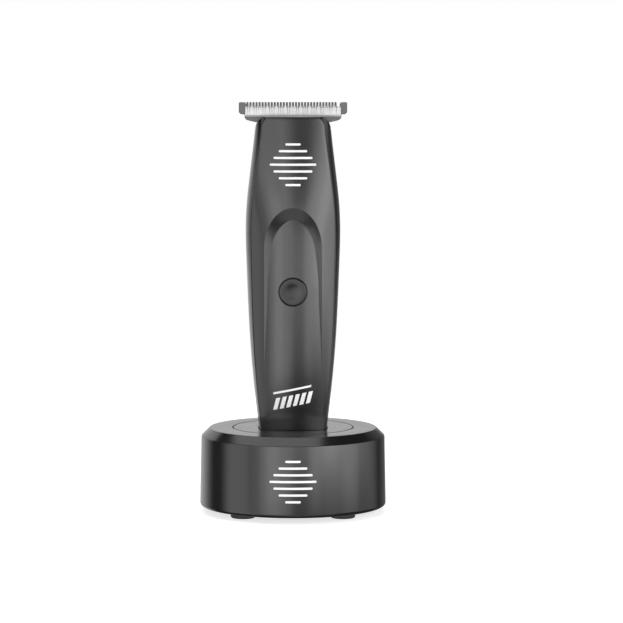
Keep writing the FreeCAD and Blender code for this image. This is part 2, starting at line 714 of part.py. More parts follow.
def make_power_button():
    """A round cap with a dished middle, a retaining flange and a stem for the switch."""
    stem = 1.8
    dish = 2.6
    flange_back = BUTTON_BACK_Y - 0.3
    profile = [
        (0, BUTTON_BACK_Y),
        (stem, BUTTON_BACK_Y),
        (stem, flange_back),
        (BUTTON_FLANGE_RADIUS, flange_back),
        (BUTTON_FLANGE_RADIUS, BUTTON_FLANGE_Y),
        (BUTTON_RADIUS, BUTTON_FLANGE_Y),
        (BUTTON_RADIUS, BUTTON_FRONT_Y),
        (dish + 0.4, BUTTON_FRONT_Y),
        (dish, BUTTON_FRONT_Y + 0.45),
        (0, BUTTON_FRONT_Y + 0.55),
    ]
    radii = [0, 0.1, 0, 0.1, 0.1, 0, 0.35, 0.3, 0.6, 0]
    points = [Vector(r, y, BUTTON_Z) for r, y in profile]
    return Part.Face(rounded_wire(points, radii)).revolve(Vector(0, 0, BUTTON_Z), Y_AXIS, 360)


# ---- drive ----
def motor_outline(radius, half_flat, z0, z1):
    """A round barrel with a flat at the front and one at the back."""
    barrel = upright(radius, z0, z1, 0, MOTOR_Y)
    return barrel.common(box(-20, 20, MOTOR_Y - half_flat, MOTOR_Y + half_flat, z0, z1))


def make_motor_can():
    wall = CAN_WALL
    can = motor_outline(MOTOR_RADIUS, MOTOR_HALF_FLAT, MOTOR_BOTTOM_Z, MOTOR_TOP_Z)
    can = can.cut(motor_outline(MOTOR_RADIUS - wall, MOTOR_HALF_FLAT - wall,
                                MOTOR_BOTTOM_Z - 1, MOTOR_TOP_Z - wall))
    can = joined([can, upright(3.0, MOTOR_TOP_Z - wall, MOTOR_TOP_Z + 1.6, 0, MOTOR_Y)])
    can = can.cut(upright(BEARING_SEAT_RADIUS, MOTOR_TOP_Z - 2, MOTOR_TOP_Z + 1.1, 0, MOTOR_Y))
    can = can.cut(upright(1.3, MOTOR_TOP_Z - 2, MOTOR_TOP_Z + 3, 0, MOTOR_Y))
    for side in (-1, 1):
        can = can.cut(upright(0.8, MOTOR_TOP_Z - 2, MOTOR_TOP_Z + 1, side * MOTOR_SCREW_X, MOTOR_Y))
    return can


def make_motor_end_cap():
    cap = motor_outline(MOTOR_RADIUS, MOTOR_HALF_FLAT, MOTOR_BOTTOM_Z - 1.3, MOTOR_BOTTOM_Z)
    plug = motor_outline(MOTOR_RADIUS - 1.0, MOTOR_HALF_FLAT - 1.0, MOTOR_BOTTOM_Z - 0.5,
                         MOTOR_BOTTOM_Z + 1.6)
    cap = joined([cap, plug])
    return cap.cut(upright(BEARING_SEAT_RADIUS, MOTOR_BOTTOM_Z - 0.6, MOTOR_BOTTOM_Z + 3, 0, MOTOR_Y))


def make_bearing(z0, z1):
    bush = upright(BEARING_RADIUS, z0, z1, 0, MOTOR_Y)
    return bush.cut(upright(SHAFT_RADIUS + BEARING_CLEARANCE, z0 - 1, z1 + 1, 0, MOTOR_Y))


def make_magnet(side):
    ring = upright(MAGNET_OUTER_RADIUS, MAGNET_BOTTOM_Z, MAGNET_TOP_Z, 0, MOTOR_Y)
    ring = ring.cut(upright(MAGNET_INNER_RADIUS, 80, 120, 0, MOTOR_Y))
    segment = box(2.5, 20, MOTOR_Y - 6.3, MOTOR_Y + 6.3, MAGNET_BOTTOM_Z, MAGNET_TOP_Z)
    if side < 0:
        segment = segment.mirror(Vector(0, 0, 0), X_AXIS)
    return ring.common(segment)


def make_armature():
    """A three-pole laminated core, its bore tight on the shaft."""
    core = upright(ARMATURE_RADIUS, ARMATURE_BOTTOM_Z, ARMATURE_TOP_Z, 0, MOTOR_Y)
    for turn in (90, 210, 330):
        slot = joined([box(2.6, 5.7, -2.1, 2.1, 89, 105), box(5.2, 8.0, -0.7, 0.7, 89, 105)])
        slot.rotate(Vector(0, 0, 0), Z_AXIS, turn)
        core = core.cut(placed(slot, Vector(0, MOTOR_Y, 0)))
    return core.cut(upright(SHAFT_RADIUS, 80, 120, 0, MOTOR_Y))


def make_commutator():
    drum = upright(COMMUTATOR_RADIUS, COMMUTATOR_BOTTOM_Z, COMMUTATOR_TOP_Z, 0, MOTOR_Y)
    for turn in (30, 150, 270):
        gap = box(1.8, 3, -0.15, 0.15, 86, 90)
        gap.rotate(Vector(0, 0, 0), Z_AXIS, turn)
        drum = drum.cut(placed(gap, Vector(0, MOTOR_Y, 0)))
    return drum.cut(upright(SHAFT_RADIUS, 80, 120, 0, MOTOR_Y))


def make_eccentric_cam():
    """A balanced hub with the crank pin that drives the cutter carrier's slot."""
    hub = upright(CAM_RADIUS, CAM_BOTTOM_Z, CAM_TOP_Z, 0, MOTOR_Y)
    weight = upright(5.0, CAM_BOTTOM_Z, CAM_BOTTOM_Z + 2.4, 0, MOTOR_Y)
    weight = weight.common(box(-6, 6, MOTOR_Y + 0.5, MOTOR_Y + 8, 110, 120))
    pin = upright(CRANK_PIN_RADIUS, CAM_TOP_Z - 0.5, CRANK_PIN_TOP_Z, 0, MOTOR_Y - ECCENTRICITY)
    cam = joined([hub, weight, pin])
    return cam.cut(upright(SHAFT_RADIUS, 110, CAM_TOP_Z - 1.0, 0, MOTOR_Y))


def make_motor_mount():
    """The bracket across the motor's front end, with an ear on each side."""
    z0 = MOTOR_TOP_Z + 0.05
    z1 = z0 + MOUNT_THICKNESS
    half = MOUNT_HALF_WIDTH
    mount = plate_z([(-half, -6.0), (half, -6.0), (half, 7.4), (-half, 7.4)], 4.0, z0, z1)
    for side in (-1, 1):
        ear_x = side * (half - 0.6)
        ear = box(ear_x - 0.7, ear_x + 0.7, -3.5, 5.0, z0 - 7.0, z0 + 0.2)
        mount = mount.fuse(ear)
    mount = mount.removeSplitter()
    mount = mount.cut(upright(3.15, 100, 120, 0, MOTOR_Y))
    for side in (-1, 1):
        mount = mount.cut(upright(1.1, 100, 120, side * MOTOR_SCREW_X, MOTOR_Y))
    return mount


# ---- battery, boards and frame ----
def make_battery_cell():
    bottom = CELL_BOTTOM_Z
    top = CELL_BOTTOM_Z + CELL_LENGTH
    cell = turned([(0, bottom), (CELL_RADIUS, bottom), (CELL_RADIUS, top - 1.2),
                   (CELL_RADIUS, top - 1.0), (2.6, top - 1.0), (2.6, top), (0, top)],
                  [0, 0.8, 0, 0.7, 0, 0.3, 0])
    return placed(cell, Vector(0, CELL_Y, 0))


def make_battery_tab(z0, z1):
    return box(-TAB_HALF_WIDTH, TAB_HALF_WIDTH, BOARD_BACK_Y, CELL_Y + 3, z0, z1)


def make_inner_frame():
    """Two side rails and two bulkheads that hold the cell and carry the main board."""
    front = BOARD_BACK_Y + 0.05
    half = RAIL_X + RAIL_HALF_THICKNESS
    low_top = FRAME_BOTTOM_Z + BULKHEAD_THICKNESS
    high_bottom = FRAME_TOP_Z - BULKHEAD_THICKNESS - 0.2
    rails = []
    for side in (-1, 1):
        x = side * RAIL_X
        rails.append(box(x - RAIL_HALF_THICKNESS, x + RAIL_HALF_THICKNESS, front, FRAME_BACK_Y,
                         FRAME_BOTTOM_Z, FRAME_TOP_Z))
    low = box(-half, half, front, FRAME_BACK_Y, FRAME_BOTTOM_Z, low_top)
    high = box(-half, half, front, FRAME_BACK_Y, high_bottom, FRAME_TOP_Z)
    frame = joined(rails + [low, high])
    for x, z in BOARD_SCREW_PLACES:
        frame = frame.cut(level(0.31, -20, BOARD_BACK_Y + 2.0, x, z))
    frame = frame.cut(box(-20, 20, -20, -7.3, 20, 35))
    return frame.cut(box(-2.7, 2.7, -20, -6.5, 29.0, 81.5))


def make_main_board():
    half = BOARD_HALF_WIDTH
    corners = [(-half, BOARD_BOTTOM_Z), (half, BOARD_BOTTOM_Z), (half, BOARD_TOP_Z),
               (-half, BOARD_TOP_Z)]
    board = plate_y(corners, [1.2] * 4, BOARD_FRONT_Y, BOARD_BACK_Y)
    for x, z in BOARD_SCREW_PLACES:
        board = board.cut(level(0.4, -20, 0, x, z))
    return board


def make_board_screws():
    tilt = FreeCAD.Rotation(X_AXIS, -90)
    pattern = screw(0.55, 0.35, 0.3, 2.4, 0.15)
    return [placed(pattern, Vector(x, BOARD_FRONT_Y, z), tilt) for x, z in BOARD_SCREW_PLACES]


def make_tactile_switch():
    body = box(-3, 3, BOARD_FRONT_Y - 1.4, BOARD_FRONT_Y, BUTTON_Z - 3, BUTTON_Z + 3)
    return joined([body, level(1.6, BOARD_FRONT_Y - 1.75, BOARD_FRONT_Y - 1.2, 0, BUTTON_Z)])


def make_charge_contact(x):
    profile = [
        (0, CONTACT_BOTTOM_Z),
        (CONTACT_RADIUS, CONTACT_BOTTOM_Z),
        (CONTACT_RADIUS, CONTACT_SHOULDER_Z),
        (CONTACT_STEM_RADIUS, CONTACT_SHOULDER_Z),
        (CONTACT_STEM_RADIUS, CONTACT_TOP_Z),
        (0, CONTACT_TOP_Z),
    ]
    return placed(turned(profile, [0, 0.2, 0, 0, 0.2, 0]), Vector(x, 0, 0))


def make_contact_board():
    board = plate_z([(-7, -3.5), (7, -3.5), (7, 3.5), (-7, 3.5)], 0.8, CONTACT_BOARD_Z,
                    CONTACT_BOARD_Z + CONTACT_BOARD_THICKNESS)
    for side in (-1, 1):
        board = board.cut(upright(CONTACT_STEM_RADIUS + 0.03, 20, 25, side * CONTACT_X))
    return board


# ---- cutting head ----
def make_fixed_blade():
    """The T-shaped comb blade: tang, wings, end blocks and comb teeth."""
    tang = BLADE_OPENING_HALF_WIDTH - 0.2
    wing = 17.9
    right = [(tang, 133.0), (tang, 144.3), (13.8, 144.3), (wing, 145.3), (wing, BAR_BOTTOM_Z),
             (BLADE_HALF_WIDTH, BAR_BOTTOM_Z), (BLADE_HALF_WIDTH, BLADE_TIP_Z)]
    radii = [1.0, 0, 3.0, 1.7, 0.2, 1.3, 0.6]
    blade = plate_y(mirrored_outline(right), radii + radii[::-1], BLADE_FRONT_Y, BLADE_BACK_Y)
    slots = []
    for i in range(COMB_TEETH + 1):
        x = (i - COMB_TEETH / 2) * COMB_PITCH
        slots.append(box(x - COMB_SLOT / 2, x + COMB_SLOT / 2, 0, 10, COMB_ROOT_Z, ABOVE_ALL))
    blade = blade.cut(Part.makeCompound(slots))
    bevel = Part.makePolygon([Vector(-30, 4.3, 147.4), Vector(-30, 3.1, 152.4),
                              Vector(-30, 6.0, 152.4), Vector(-30, 4.3, 147.4)])
    blade = blade.cut(Part.Face(bevel).extrude(Vector(60, 0, 0)))
    for side in (-1, 1):
        blade = blade.cut(level(SCREW_PASS_RADIUS, 0, 10, side * BLADE_SCREW_X, BLADE_SCREW_Z))
    return blade


def make_moving_cutter():
    """The reciprocating cutter: toothed bar, shoulder and stem."""
    stem = CUTTER_STEM_HALF_WIDTH
    shoulder = CUTTER_SHOULDER_HALF_WIDTH
    bar_z = CUTTER_BAR_BOTTOM_Z
    right = [(stem, CUTTER_STEM_BOTTOM_Z), (stem, 143.2), (shoulder, 144.8), (shoulder, bar_z),
             (CUTTER_HALF_WIDTH, bar_z), (CUTTER_HALF_WIDTH, CUTTER_TIP_Z)]
    radii = [0.5, 1.5, 0.5, 0, 0.3, 0.12]
    cutter = plate_y(mirrored_outline(right), radii + radii[::-1], CUTTER_FRONT_Y, CUTTER_BACK_Y)
    slots = []
    for i in range(CUTTER_TEETH + 1):
        x = (i - CUTTER_TEETH / 2) * CUTTER_PITCH
        slots.append(box(x - CUTTER_SLOT / 2, x + CUTTER_SLOT / 2, 0, 10, CUTTER_ROOT_Z, ABOVE_ALL))
    cutter = cutter.cut(Part.makeCompound(slots))
    bevel = Part.makePolygon([Vector(-30, 0.0, 148.4), Vector(-30, 0.9, 148.4),
                              Vector(-30, 1.7, 150.5), Vector(-30, 0.0, 150.5),
                              Vector(-30, 0.0, 148.4)])
    cutter = cutter.cut(Part.Face(bevel).extrude(Vector(60, 0, 0)))
    for side in (-1, 1):
        cutter = cutter.cut(level(0.7, 0, 5, side * CUTTER_PEG_X, CUTTER_PEG_Z))
    return cutter


def make_cutter_carrier():
    """The slotted block that the crank pin would move, clipped to the cutter's stem."""
    fork = box(-4.2, 4.2, -3.3, 3.1, CARRIER_BOTTOM_Z, CARRIER_FORK_TOP_Z)
    stem = box(-5.0, 5.0, -2.6, CUTTER_FRONT_Y - 0.02, CARRIER_FORK_TOP_Z - 0.9, CARRIER_TOP_Z)
    carrier = joined([fork, stem])
    slot = CRANK_PIN_RADIUS + 0.05
    carrier = carrier.cut(box(-slot, slot, -2.3, 2.1, 120, CARRIER_SLOT_TOP_Z))
    pegs = [level(0.66, CUTTER_FRONT_Y - 0.5, CUTTER_BACK_Y - 0.1, side * CUTTER_PEG_X, CUTTER_PEG_Z)
            for side in (-1, 1)]
    return joined([carrier] + pegs)


def make_head_bracket():
    """The nose frame: two pillars joined in front, with a channel for the carrier."""
    frame = box(-BRACKET_HALF_WIDTH, BRACKET_HALF_WIDTH, -4.4, BLADE_FRONT_Y - 0.02,
                BRACKET_BOTTOM_Z, BRACKET_TOP_Z)
    frame = frame.cut(box(-CHANNEL_HALF_WIDTH, CHANNEL_HALF_WIDTH, -3.6, 10, 130, 150))
    frame = frame.cut(box(-13, 13, CUTTER_FRONT_Y - 0.25, 10, CARRIER_TOP_Z, 150))
    for side in (-1, 1):
        frame = frame.cut(level(SCREW_PILOT_RADIUS, -3.0, 10, side * BLADE_SCREW_X, BLADE_SCREW_Z))
    return frame


def make_blade_spring():
    """A bowed leaf that bears on the bracket's web in front of the carrier."""
    half = 5.6
    bottom = 134.0
    front_left = Vector(-half, -3.5, bottom)
    front_right = Vector(half, -3.5, bottom)
    back_left = Vector(-half, -3.2, bottom)
    back_right = Vector(half, -3.2, bottom)
    edges = [
        Part.Arc(front_left, Vector(0, -2.95, bottom), front_right).toShape(),
        Part.makeLine(front_right, back_right),
        Part.Arc(back_right, Vector(0, -2.7, bottom), back_left).toShape(),
        Part.makeLine(back_left, front_left),
    ]
    return Part.Face(Part.Wire(edges)).extrude(Vector(0, 0, 6.5))


def screws_from_back(pattern, places, y):
    """Screws whose heads face +Y, with their heads' undersides at y."""
    tilt = FreeCAD.Rotation(X_AXIS, 90)
    return [placed(pattern, Vector(x, y, z), tilt) for x, z in places]


def main():
    os.makedirs("parts", exist_ok=True)

    # charging base
    save("base_shell", make_base_shell())
    save("base_cradle", make_base_cradle())
    save("base_bottom_plate", make_bottom_plate())
    foot_names = ("foot_front_left", "foot_front_right", "foot_rear_left", "foot_rear_right")
    for name, (x, y) in zip(foot_names, FOOT_PLACES):
        save(name, placed(make_foot(), Vector(x, y, 0)))
    base_screw = screw(1.9, 1.1, 0.78, 8.5)
    seat = PLATE_TOP_Z - 1.0
    save("base_screws", Part.makeCompound(
        [placed(base_screw, Vector(x, y, seat)) for x, y in FOOT_PLACES]))
    save("ballast_plate", make_ballast())
    save("base_circuit_board", make_base_board())
    flip = FreeCAD.Rotation(X_AXIS, 180)
    board_screw = screw(1.5, 0.9, 0.68, 4.4)
    save("base_board_screws", Part.makeCompound(
        [placed(board_screw, Vector(x, y, BASE_BOARD_TOP_Z), flip) for x, y in BASE_POST_PLACES]))
    save("base_capacitor", upright(3.0, BASE_BOARD_TOP_Z, BASE_BOARD_TOP_Z + 5.5, -6.2, 12.0))
    save("base_regulator", box(2.5, 8.5, 8.0, 13.0, BASE_BOARD_TOP_Z, BASE_BOARD_TOP_Z + 1.7))
    save("contact_block", make_contact_block())
    save("power_inlet", make_power_inlet())
    save("inlet_terminals", Part.makeCompound(make_inlet_terminals()))
    for name, x in (("left", -CONTACT_X), ("right", CONTACT_X)):
        save("contact_pin_" + name, make_contact_pin(x))
        save("contact_spring_" + name, make_contact_spring(x))
        save("charge_contact_" + name, make_charge_contact(x))

    # hand piece
    save("rear_housing", make_rear_housing())
    save("front_housing", make_front_housing())
    save("power_button", make_power_button())
    housing_screw = screw(1.9, 1.2, 0.83, 8.0)
    save("housing_screws", Part.makeCompound(
        screws_from_back(housing_screw, HOUSING_SCREW_PLACES, SCREW_SEAT_Y)))
    save("charge_contact_board", make_contact_board())
    save("battery_cell", make_battery_cell())
    save("battery_tab_lower", make_battery_tab(CELL_BOTTOM_Z - TAB_THICKNESS, CELL_BOTTOM_Z))
    cell_top = CELL_BOTTOM_Z + CELL_LENGTH
    save("battery_tab_upper", make_battery_tab(cell_top, cell_top + TAB_THICKNESS))
    save("inner_frame", make_inner_frame())
    save("main_circuit_board", make_main_board())
    save("board_screws", Part.makeCompound(make_board_screws()))
    save("tactile_switch", make_tactile_switch())

    # drive
    save("motor_can", make_motor_can())
    save("motor_end_cap", make_motor_end_cap())
    save("motor_bearing_front", make_bearing(MOTOR_TOP_Z - 0.9, MOTOR_TOP_Z + 1.1))
    save("motor_bearing_rear", make_bearing(MOTOR_BOTTOM_Z - 0.6, MOTOR_BOTTOM_Z + 1.5))
    save("motor_magnet_left", make_magnet(-1))
    save("motor_magnet_right", make_magnet(1))
    save("motor_shaft", upright(SHAFT_RADIUS, MOTOR_BOTTOM_Z - 0.5, CAM_TOP_Z - 1.1, 0, MOTOR_Y))
    save("armature", make_armature())
    save("commutator", make_commutator())
    save("eccentric_cam", make_eccentric_cam())
    save("motor_mount", make_motor_mount())
    mount_top = MOTOR_TOP_Z + 1.65
    mount_screw = screw(1.4, 0.8, 0.78, 2.6, 0.4)
    save("motor_screws", Part.makeCompound(
        [placed(mount_screw, Vector(side * MOTOR_SCREW_X, MOTOR_Y, mount_top), flip)
         for side in (-1, 1)]))

    # cutting head
    save("fixed_blade", make_fixed_blade())
    save("moving_cutter", make_moving_cutter())
    save("cutter_carrier", make_cutter_carrier())
    save("head_bracket", make_head_bracket())
    save("blade_spring", make_blade_spring())
    blade_screw = screw(1.9, 1.0, 0.83, 4.6)
    blade_places = [(side * BLADE_SCREW_X, BLADE_SCREW_Z) for side in (-1, 1)]
    save("blade_screws", Part.makeCompound(
        screws_from_back(blade_screw, blade_places, BLADE_BACK_Y)))


main()
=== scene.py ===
import json
import math

import bmesh
import bpy
import numpy as np
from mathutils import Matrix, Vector
from mathutils.geometry import delaunay_2d_cdt


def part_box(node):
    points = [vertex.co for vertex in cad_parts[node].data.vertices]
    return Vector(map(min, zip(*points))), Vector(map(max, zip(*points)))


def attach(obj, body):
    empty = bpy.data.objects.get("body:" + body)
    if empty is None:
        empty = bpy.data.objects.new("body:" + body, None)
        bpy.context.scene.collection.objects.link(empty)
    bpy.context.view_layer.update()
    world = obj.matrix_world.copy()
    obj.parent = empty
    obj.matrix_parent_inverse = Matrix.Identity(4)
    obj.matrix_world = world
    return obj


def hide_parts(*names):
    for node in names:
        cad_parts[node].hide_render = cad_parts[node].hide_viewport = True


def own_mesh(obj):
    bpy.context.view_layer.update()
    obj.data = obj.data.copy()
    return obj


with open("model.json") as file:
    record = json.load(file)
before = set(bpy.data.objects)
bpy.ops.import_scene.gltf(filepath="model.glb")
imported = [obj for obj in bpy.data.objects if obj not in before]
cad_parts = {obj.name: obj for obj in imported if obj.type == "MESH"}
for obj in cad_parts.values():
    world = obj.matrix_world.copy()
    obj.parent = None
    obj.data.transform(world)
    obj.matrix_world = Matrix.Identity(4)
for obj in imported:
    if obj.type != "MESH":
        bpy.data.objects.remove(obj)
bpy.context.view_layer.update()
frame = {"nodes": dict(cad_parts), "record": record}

# Sizes are in millimetres, in the frame of the CAD model, unless a name or a title says otherwise.
MM = 0.001

# ---- hand piece: height, half width, depth to the front, depth to the back ----
STATIONS = np.array([
    (19.8, 11.30, 10.4, 10.4),
    (31.4, 12.60, 11.6, 11.5),
    (45.0, 14.15, 13.0, 12.6),
    (60.0, 15.55, 14.0, 13.3),
    (76.0, 16.50, 14.6, 13.8),
    (92.0, 17.13, 14.8, 13.8),
    (105.4, 17.45, 14.6, 12.9),
    (114.2, 17.10, 14.0, 11.5),
    (123.1, 16.19, 12.8, 9.3),
    (132.0, 15.13, 11.3, 7.0),
    (140.8, 14.12, 9.4, 5.4),
    (146.6, 13.60, 8.1, 4.9),
])
BODY_BOTTOM_Z = 19.8
BODY_TOP_Z = 146.6
HEAD_CORNER_RADIUS = 4.6
HEAD_CORNER_X = 13.9 - HEAD_CORNER_RADIUS
HEAD_CORNER_Z = BODY_TOP_Z - HEAD_CORNER_RADIUS
STRIP_INSET = 0.38
STRIP_GROWTH = 0.0127
STRIP_POWER = 2.6
BACK_POWER = 0.82
FACE_RADIUS = 23.0
HEAD_FACE_RADIUS = 38.0
HEAD_FACE_START_Z = 98.0
HEAD_FACE_END_Z = 142.0
FACE_CORNER_RADIUS = 2.7
FACE_LIP = 0.35
FACE_SEAM = 0.15
LIP_RADIUS = 0.45
LIP_FALL = 0.65
FACE_EDGE_THICKNESS = 0.32
FACE_THICKENING = 1.1
THICKENING_START = 1.4
THICKENING_LENGTH = 0.6
TOP_WALL_OUTLINE = [(-9.8, -6.4), (9.8, -6.4), (11.1, -3.0),
                    (11.2, 0.4), (-11.2, 0.4), (-11.1, -3.0)]
TOP_WALL_RADII = [1.0, 1.0, 0.5, 0.4, 0.4, 0.5]
TOP_WALL_DROP = 0.05
TOP_WALL_THICKNESS = 1.6
RIM_WIDTH = 1.3
HOUSING_WALL = 1.8
FLOOR_THICKNESS = 2.0
BUTTON_Z = 82.8
BUTTON_RADIUS = 4.95
BUTTON_HOLE_RADIUS = 5.15
HOLE_EDGE_RADIUS = 0.3
BUTTON_FRONT_Y = -14.3
BUTTON_BACK_Y = -11.9
BUTTON_NUB_Y = -11.6
BUTTON_NUB_RADIUS = 1.8
BUTTON_FLANGE_Y = -12.5
BUTTON_FLANGE_RADIUS = 5.9
BUTTON_DISH_RADIUS = 2.9
BUTTON_DISH_DEPTH = 0.22
BUTTON_DISH_START = 0.06
RECESS_HALF_WIDTH = 10.6
RECESS_APEX_Z = 113.6
RECESS_SPRING_Z = 98.5
RECESS_DEPTH = 1.15
RECESS_START_Z = 84.0
RECESS_FULL_Z = 109.0
RECESS_POWER = 1.6
RECESS_SLOPE = 0.36
GROOVE_DEPTH = 0.45
GROOVE_START_Z = 50.0
GROOVE_FULL_Z = 86.0
HOUSING_SCREW_PLACES = [(-8.2, 121.0), (8.2, 121.0), (-6.4, 25.8), (6.4, 25.8)]
SCREW_TUBE_RADIUS = 2.6
SCREW_TUBE_START_Y = 4.0
SCREW_TUBE_SUNK = 0.4
SCREW_SEAT_Y = 5.6
SCREW_HEAD_RADIUS = 2.15
SCREW_HOLE_RADIUS = 1.15
SCREW_CUT_RADIUS = 2.2
CONTACT_X = 4.0
CONTACT_FACE_RADIUS = 1.75
CONTACT_HOLE_RADIUS = 1.15
CONTACT_RECESS_TOP_Z = 21.0

# ---- blade ----
BLADE_HALF_WIDTH = 20.0
BLADE_FRONT_Y = 2.4
BLADE_BACK_Y = 4.2
BLADE_TIP_Z = 151.7
COMB_TEETH = 31
COMB_PITCH = 1.12
COMB_SLOT = 0.36
COMB_ROOT_Z = 147.0
CUTTER_HALF_WIDTH = 17.75
CUTTER_FRONT_Y = 0.9
CUTTER_BACK_Y = 2.35
CUTTER_TIP_Z = 150.2
CUTTER_TEETH = 43
CUTTER_PITCH = 0.82
CUTTER_SLOT = 0.16
CUTTER_ROOT_Z = 147.0
CUTTER_BAR_BOTTOM_Z = 146.5
BLADE_SCREW_X = 8.9
BLADE_SCREW_Z = 138.5
# Outlines as (x, z) points, with a radius for each corner: the right half of the comb and of the
# cutter, and the whole of the right end block.
COMB_OUTLINE = [(12.3, 133.0), (12.3, 144.3), (13.8, 144.3), (17.9, 145.3), (17.9, 147.2),
                (17.55, 147.2), (17.55, COMB_ROOT_Z + 0.1)]
COMB_RADII = [1.0, 0, 3.0, 1.7, 0, 0, 0]
END_BLOCK_OUTLINE = [(17.2, 147.2), (BLADE_HALF_WIDTH, 147.2), (BLADE_HALF_WIDTH, BLADE_TIP_Z),
                     (17.55, BLADE_TIP_Z - 0.1), (17.2, BLADE_TIP_Z - 1.0)]
END_BLOCK_RADII = [0, 1.3, 0.6, 0.3, 0]
CUTTER_OUTLINE = [(5.4, 134.6), (5.4, 143.2), (10.2, 144.8), (10.2, CUTTER_BAR_BOTTOM_Z),
                  (CUTTER_HALF_WIDTH, CUTTER_BAR_BOTTOM_Z),
                  (CUTTER_HALF_WIDTH, CUTTER_ROOT_Z + 0.1)]
CUTTER_RADII = [0.5, 1.5, 0.5, 0, 0.3, 0]
# Openings in the head of the rear housing: half width, front, back, bottom and top. Their backs
# and tops differ, so that no two cutting faces lie in one plane.
HEAD_OPENINGS = [
    (11.0, -5.2, 10.0, 132.4, 160.0),
    (11.6, CUTTER_FRONT_Y - 0.3, 10.5, 144.4, 160.5),
    (12.5, BLADE_FRONT_Y - 0.1, 30.0, 132.8, 161.0),
    (30.0, BLADE_FRONT_Y - 0.11, 30.5, 144.1, 161.5),
]
# A tooth's rings: the share of its length, and how far its tip is rounded off there.
TOOTH_RINGS = ((0, 0), (0.1, 0), (0.82, 0.0), (0.93, 0.25), (0.985, 0.6), (1, 0.85))
TOOTH_STRAIGHT = 0.1

# ---- charging base ----
BASE_TOP_Z = 31.4
BASE_RIM_RADIUS = 34.5
BASE_SHOULDER_RADIUS = 34.0
BASE_SHOULDER_Z = 28.4
BASE_TOP_RADIUS = 30.9
BASE_UNDERSIDE_Z = 2.2
BASE_WALL = 2.2
BASE_TOP_THICKNESS = 2.4
PLATE_TOP_Z = 5.2
PLATE_RADIUS = 32.1
CRADLE_RADIUS = 22.15
CRADLE_SEAM = 0.3
CRADLE_LEDGE_Z = BASE_TOP_Z - 2.1
LEDGE_WIDTH = 2.05
LEDGE_THICKNESS = 1.6
LEDGE_ROOT = 0.6
POCKET_FLOOR_Z = BODY_BOTTOM_Z - 0.3
POCKET_GAP = 0.32
POCKET_WALL = 1.5
POCKET_FLOOR_THICKNESS = 2.0
PIN_HOLE_RADIUS = 1.1
FOOT_RADIUS = 4.8
FOOT_TOP_Z = 3.0
FOOT_X = 18.3
FOOT_Y = 17.0
FOOT_GAP = 0.1
INLET_Z = 15.4
INLET_MOUTH_Y = 33.6
INLET_BORE_RADIUS = 2.8
INLET_BORE_DEPTH = 9.5
INLET_NOSE_RADIUS = 4.0
INLET_HOLE_RADIUS = 4.2
INLET_CHAMFER = 0.4
INLET_BODY = (-4.6, 4.6, 22.4, 31.2, 11.1, INLET_Z + 4.3)
SPRING_WIRE_RADIUS = 0.16
SPRING_RADIUS = 1.05
SPRING_TURNS = 5

# ---- printed marks ----
MARK_THICKNESS = 0.05
MARK_BAR = 0.8
MARK_PITCH = 2.45
MARK_LENGTHS = (5.6, 10.4, 14.2, 17.0, 14.2, 10.4, 5.6)
HEAD_MARK_Z = 129.3
BASE_MARK_Z = 15.6
# The left, right, bottom and top of the rule and of the first stripe.
RULE = (-7.3, 6.6, 46.4, 47.2)
STRIPE = (-7.3, -5.8, 40.6, 45.0)
STRIPE_COUNT = 6
STRIPE_PITCH = 2.4
STRIPE_RISE = 0.2
STRIPE_LEAN = 0.26

# ---- stage and camera, in metres and degrees ----
# Upright softboxes round the object, bearings positive to the right: name, the bearings where
# its light begins, is full, is full still and ends, its brightness, and each layer's height.
FULL = (-0.9, 1.0)
SOFTBOXES = [
    ("left_back", -200, -184, -142, -118, 0.8, (FULL, FULL, FULL)),
    ("left_side", -100, -84, -60, -46, 0.9, (FULL, FULL, FULL)),
    ("left_key", -56, -28, -20, 4, 1.95, ((-0.42, 1.0), (-0.38, 1.0), (-0.34, 0.4))),
    ("middle_fill", -16, 2, 22, 36, 1.2, ((-0.34, 1.0), (-0.2, 0.4), (-0.08, 0.3))),
    ("right_key", 16, 41, 50, 92, 2.9,
     ((-0.34, 1.0), (-0.22, 1.0), (-0.14, 1.0), (-0.1, 1.0), (-0.075, 1.0))),
    ("right_side", 60, 84, 92, 132, 1.1,
     ((-0.45, 1.0), (-0.3, 1.0), (-0.2, 1.0), (-0.16, 1.0), (-0.12, 1.0))),
    ("right_back", 132, 148, 160, 172, 0.14, (FULL, FULL, FULL)),
    ("floor_glow", -60, -40, 40, 60, 1.8, ((-1.6, -0.64), (-1.6, -0.72), (-1.6, -0.8))),
]
SOFTBOX_DISTANCE = 1.5
OVERHEAD_SIZE = 1.6
OVERHEAD_RADIANCE = 1.1
OVERHEAD_PLACE = (-0.3, 0.1, 1.4)
ROOM_GLOW = 0.03
BACKDROP_GLOW = 1.0
FLOOR_EMISSION = 0.7
CAMERA_DISTANCE = 1.254
CAMERA_PITCH_DEGREES = 5.3
CAMERA_AIM_Z = 0.0744
CAMERA_LENS_MM = 195.8
CAMERA_SENSOR_MM = 36.0
CAMERA_SHIFT_X = 0.0297

# ---- fineness of the meshes ----
AROUND = 192
FACE_GRID = 0.9
FACE_GRID_MARGIN = 2.4
BEVEL_STEPS = 50
MERGE_DISTANCE = 1e-7
JOIN_TOLERANCE = 1e-5

# ---- the span of a noise texture's usual values ----
NOISE_LOW = 0.3
NOISE_HIGH = 0.7


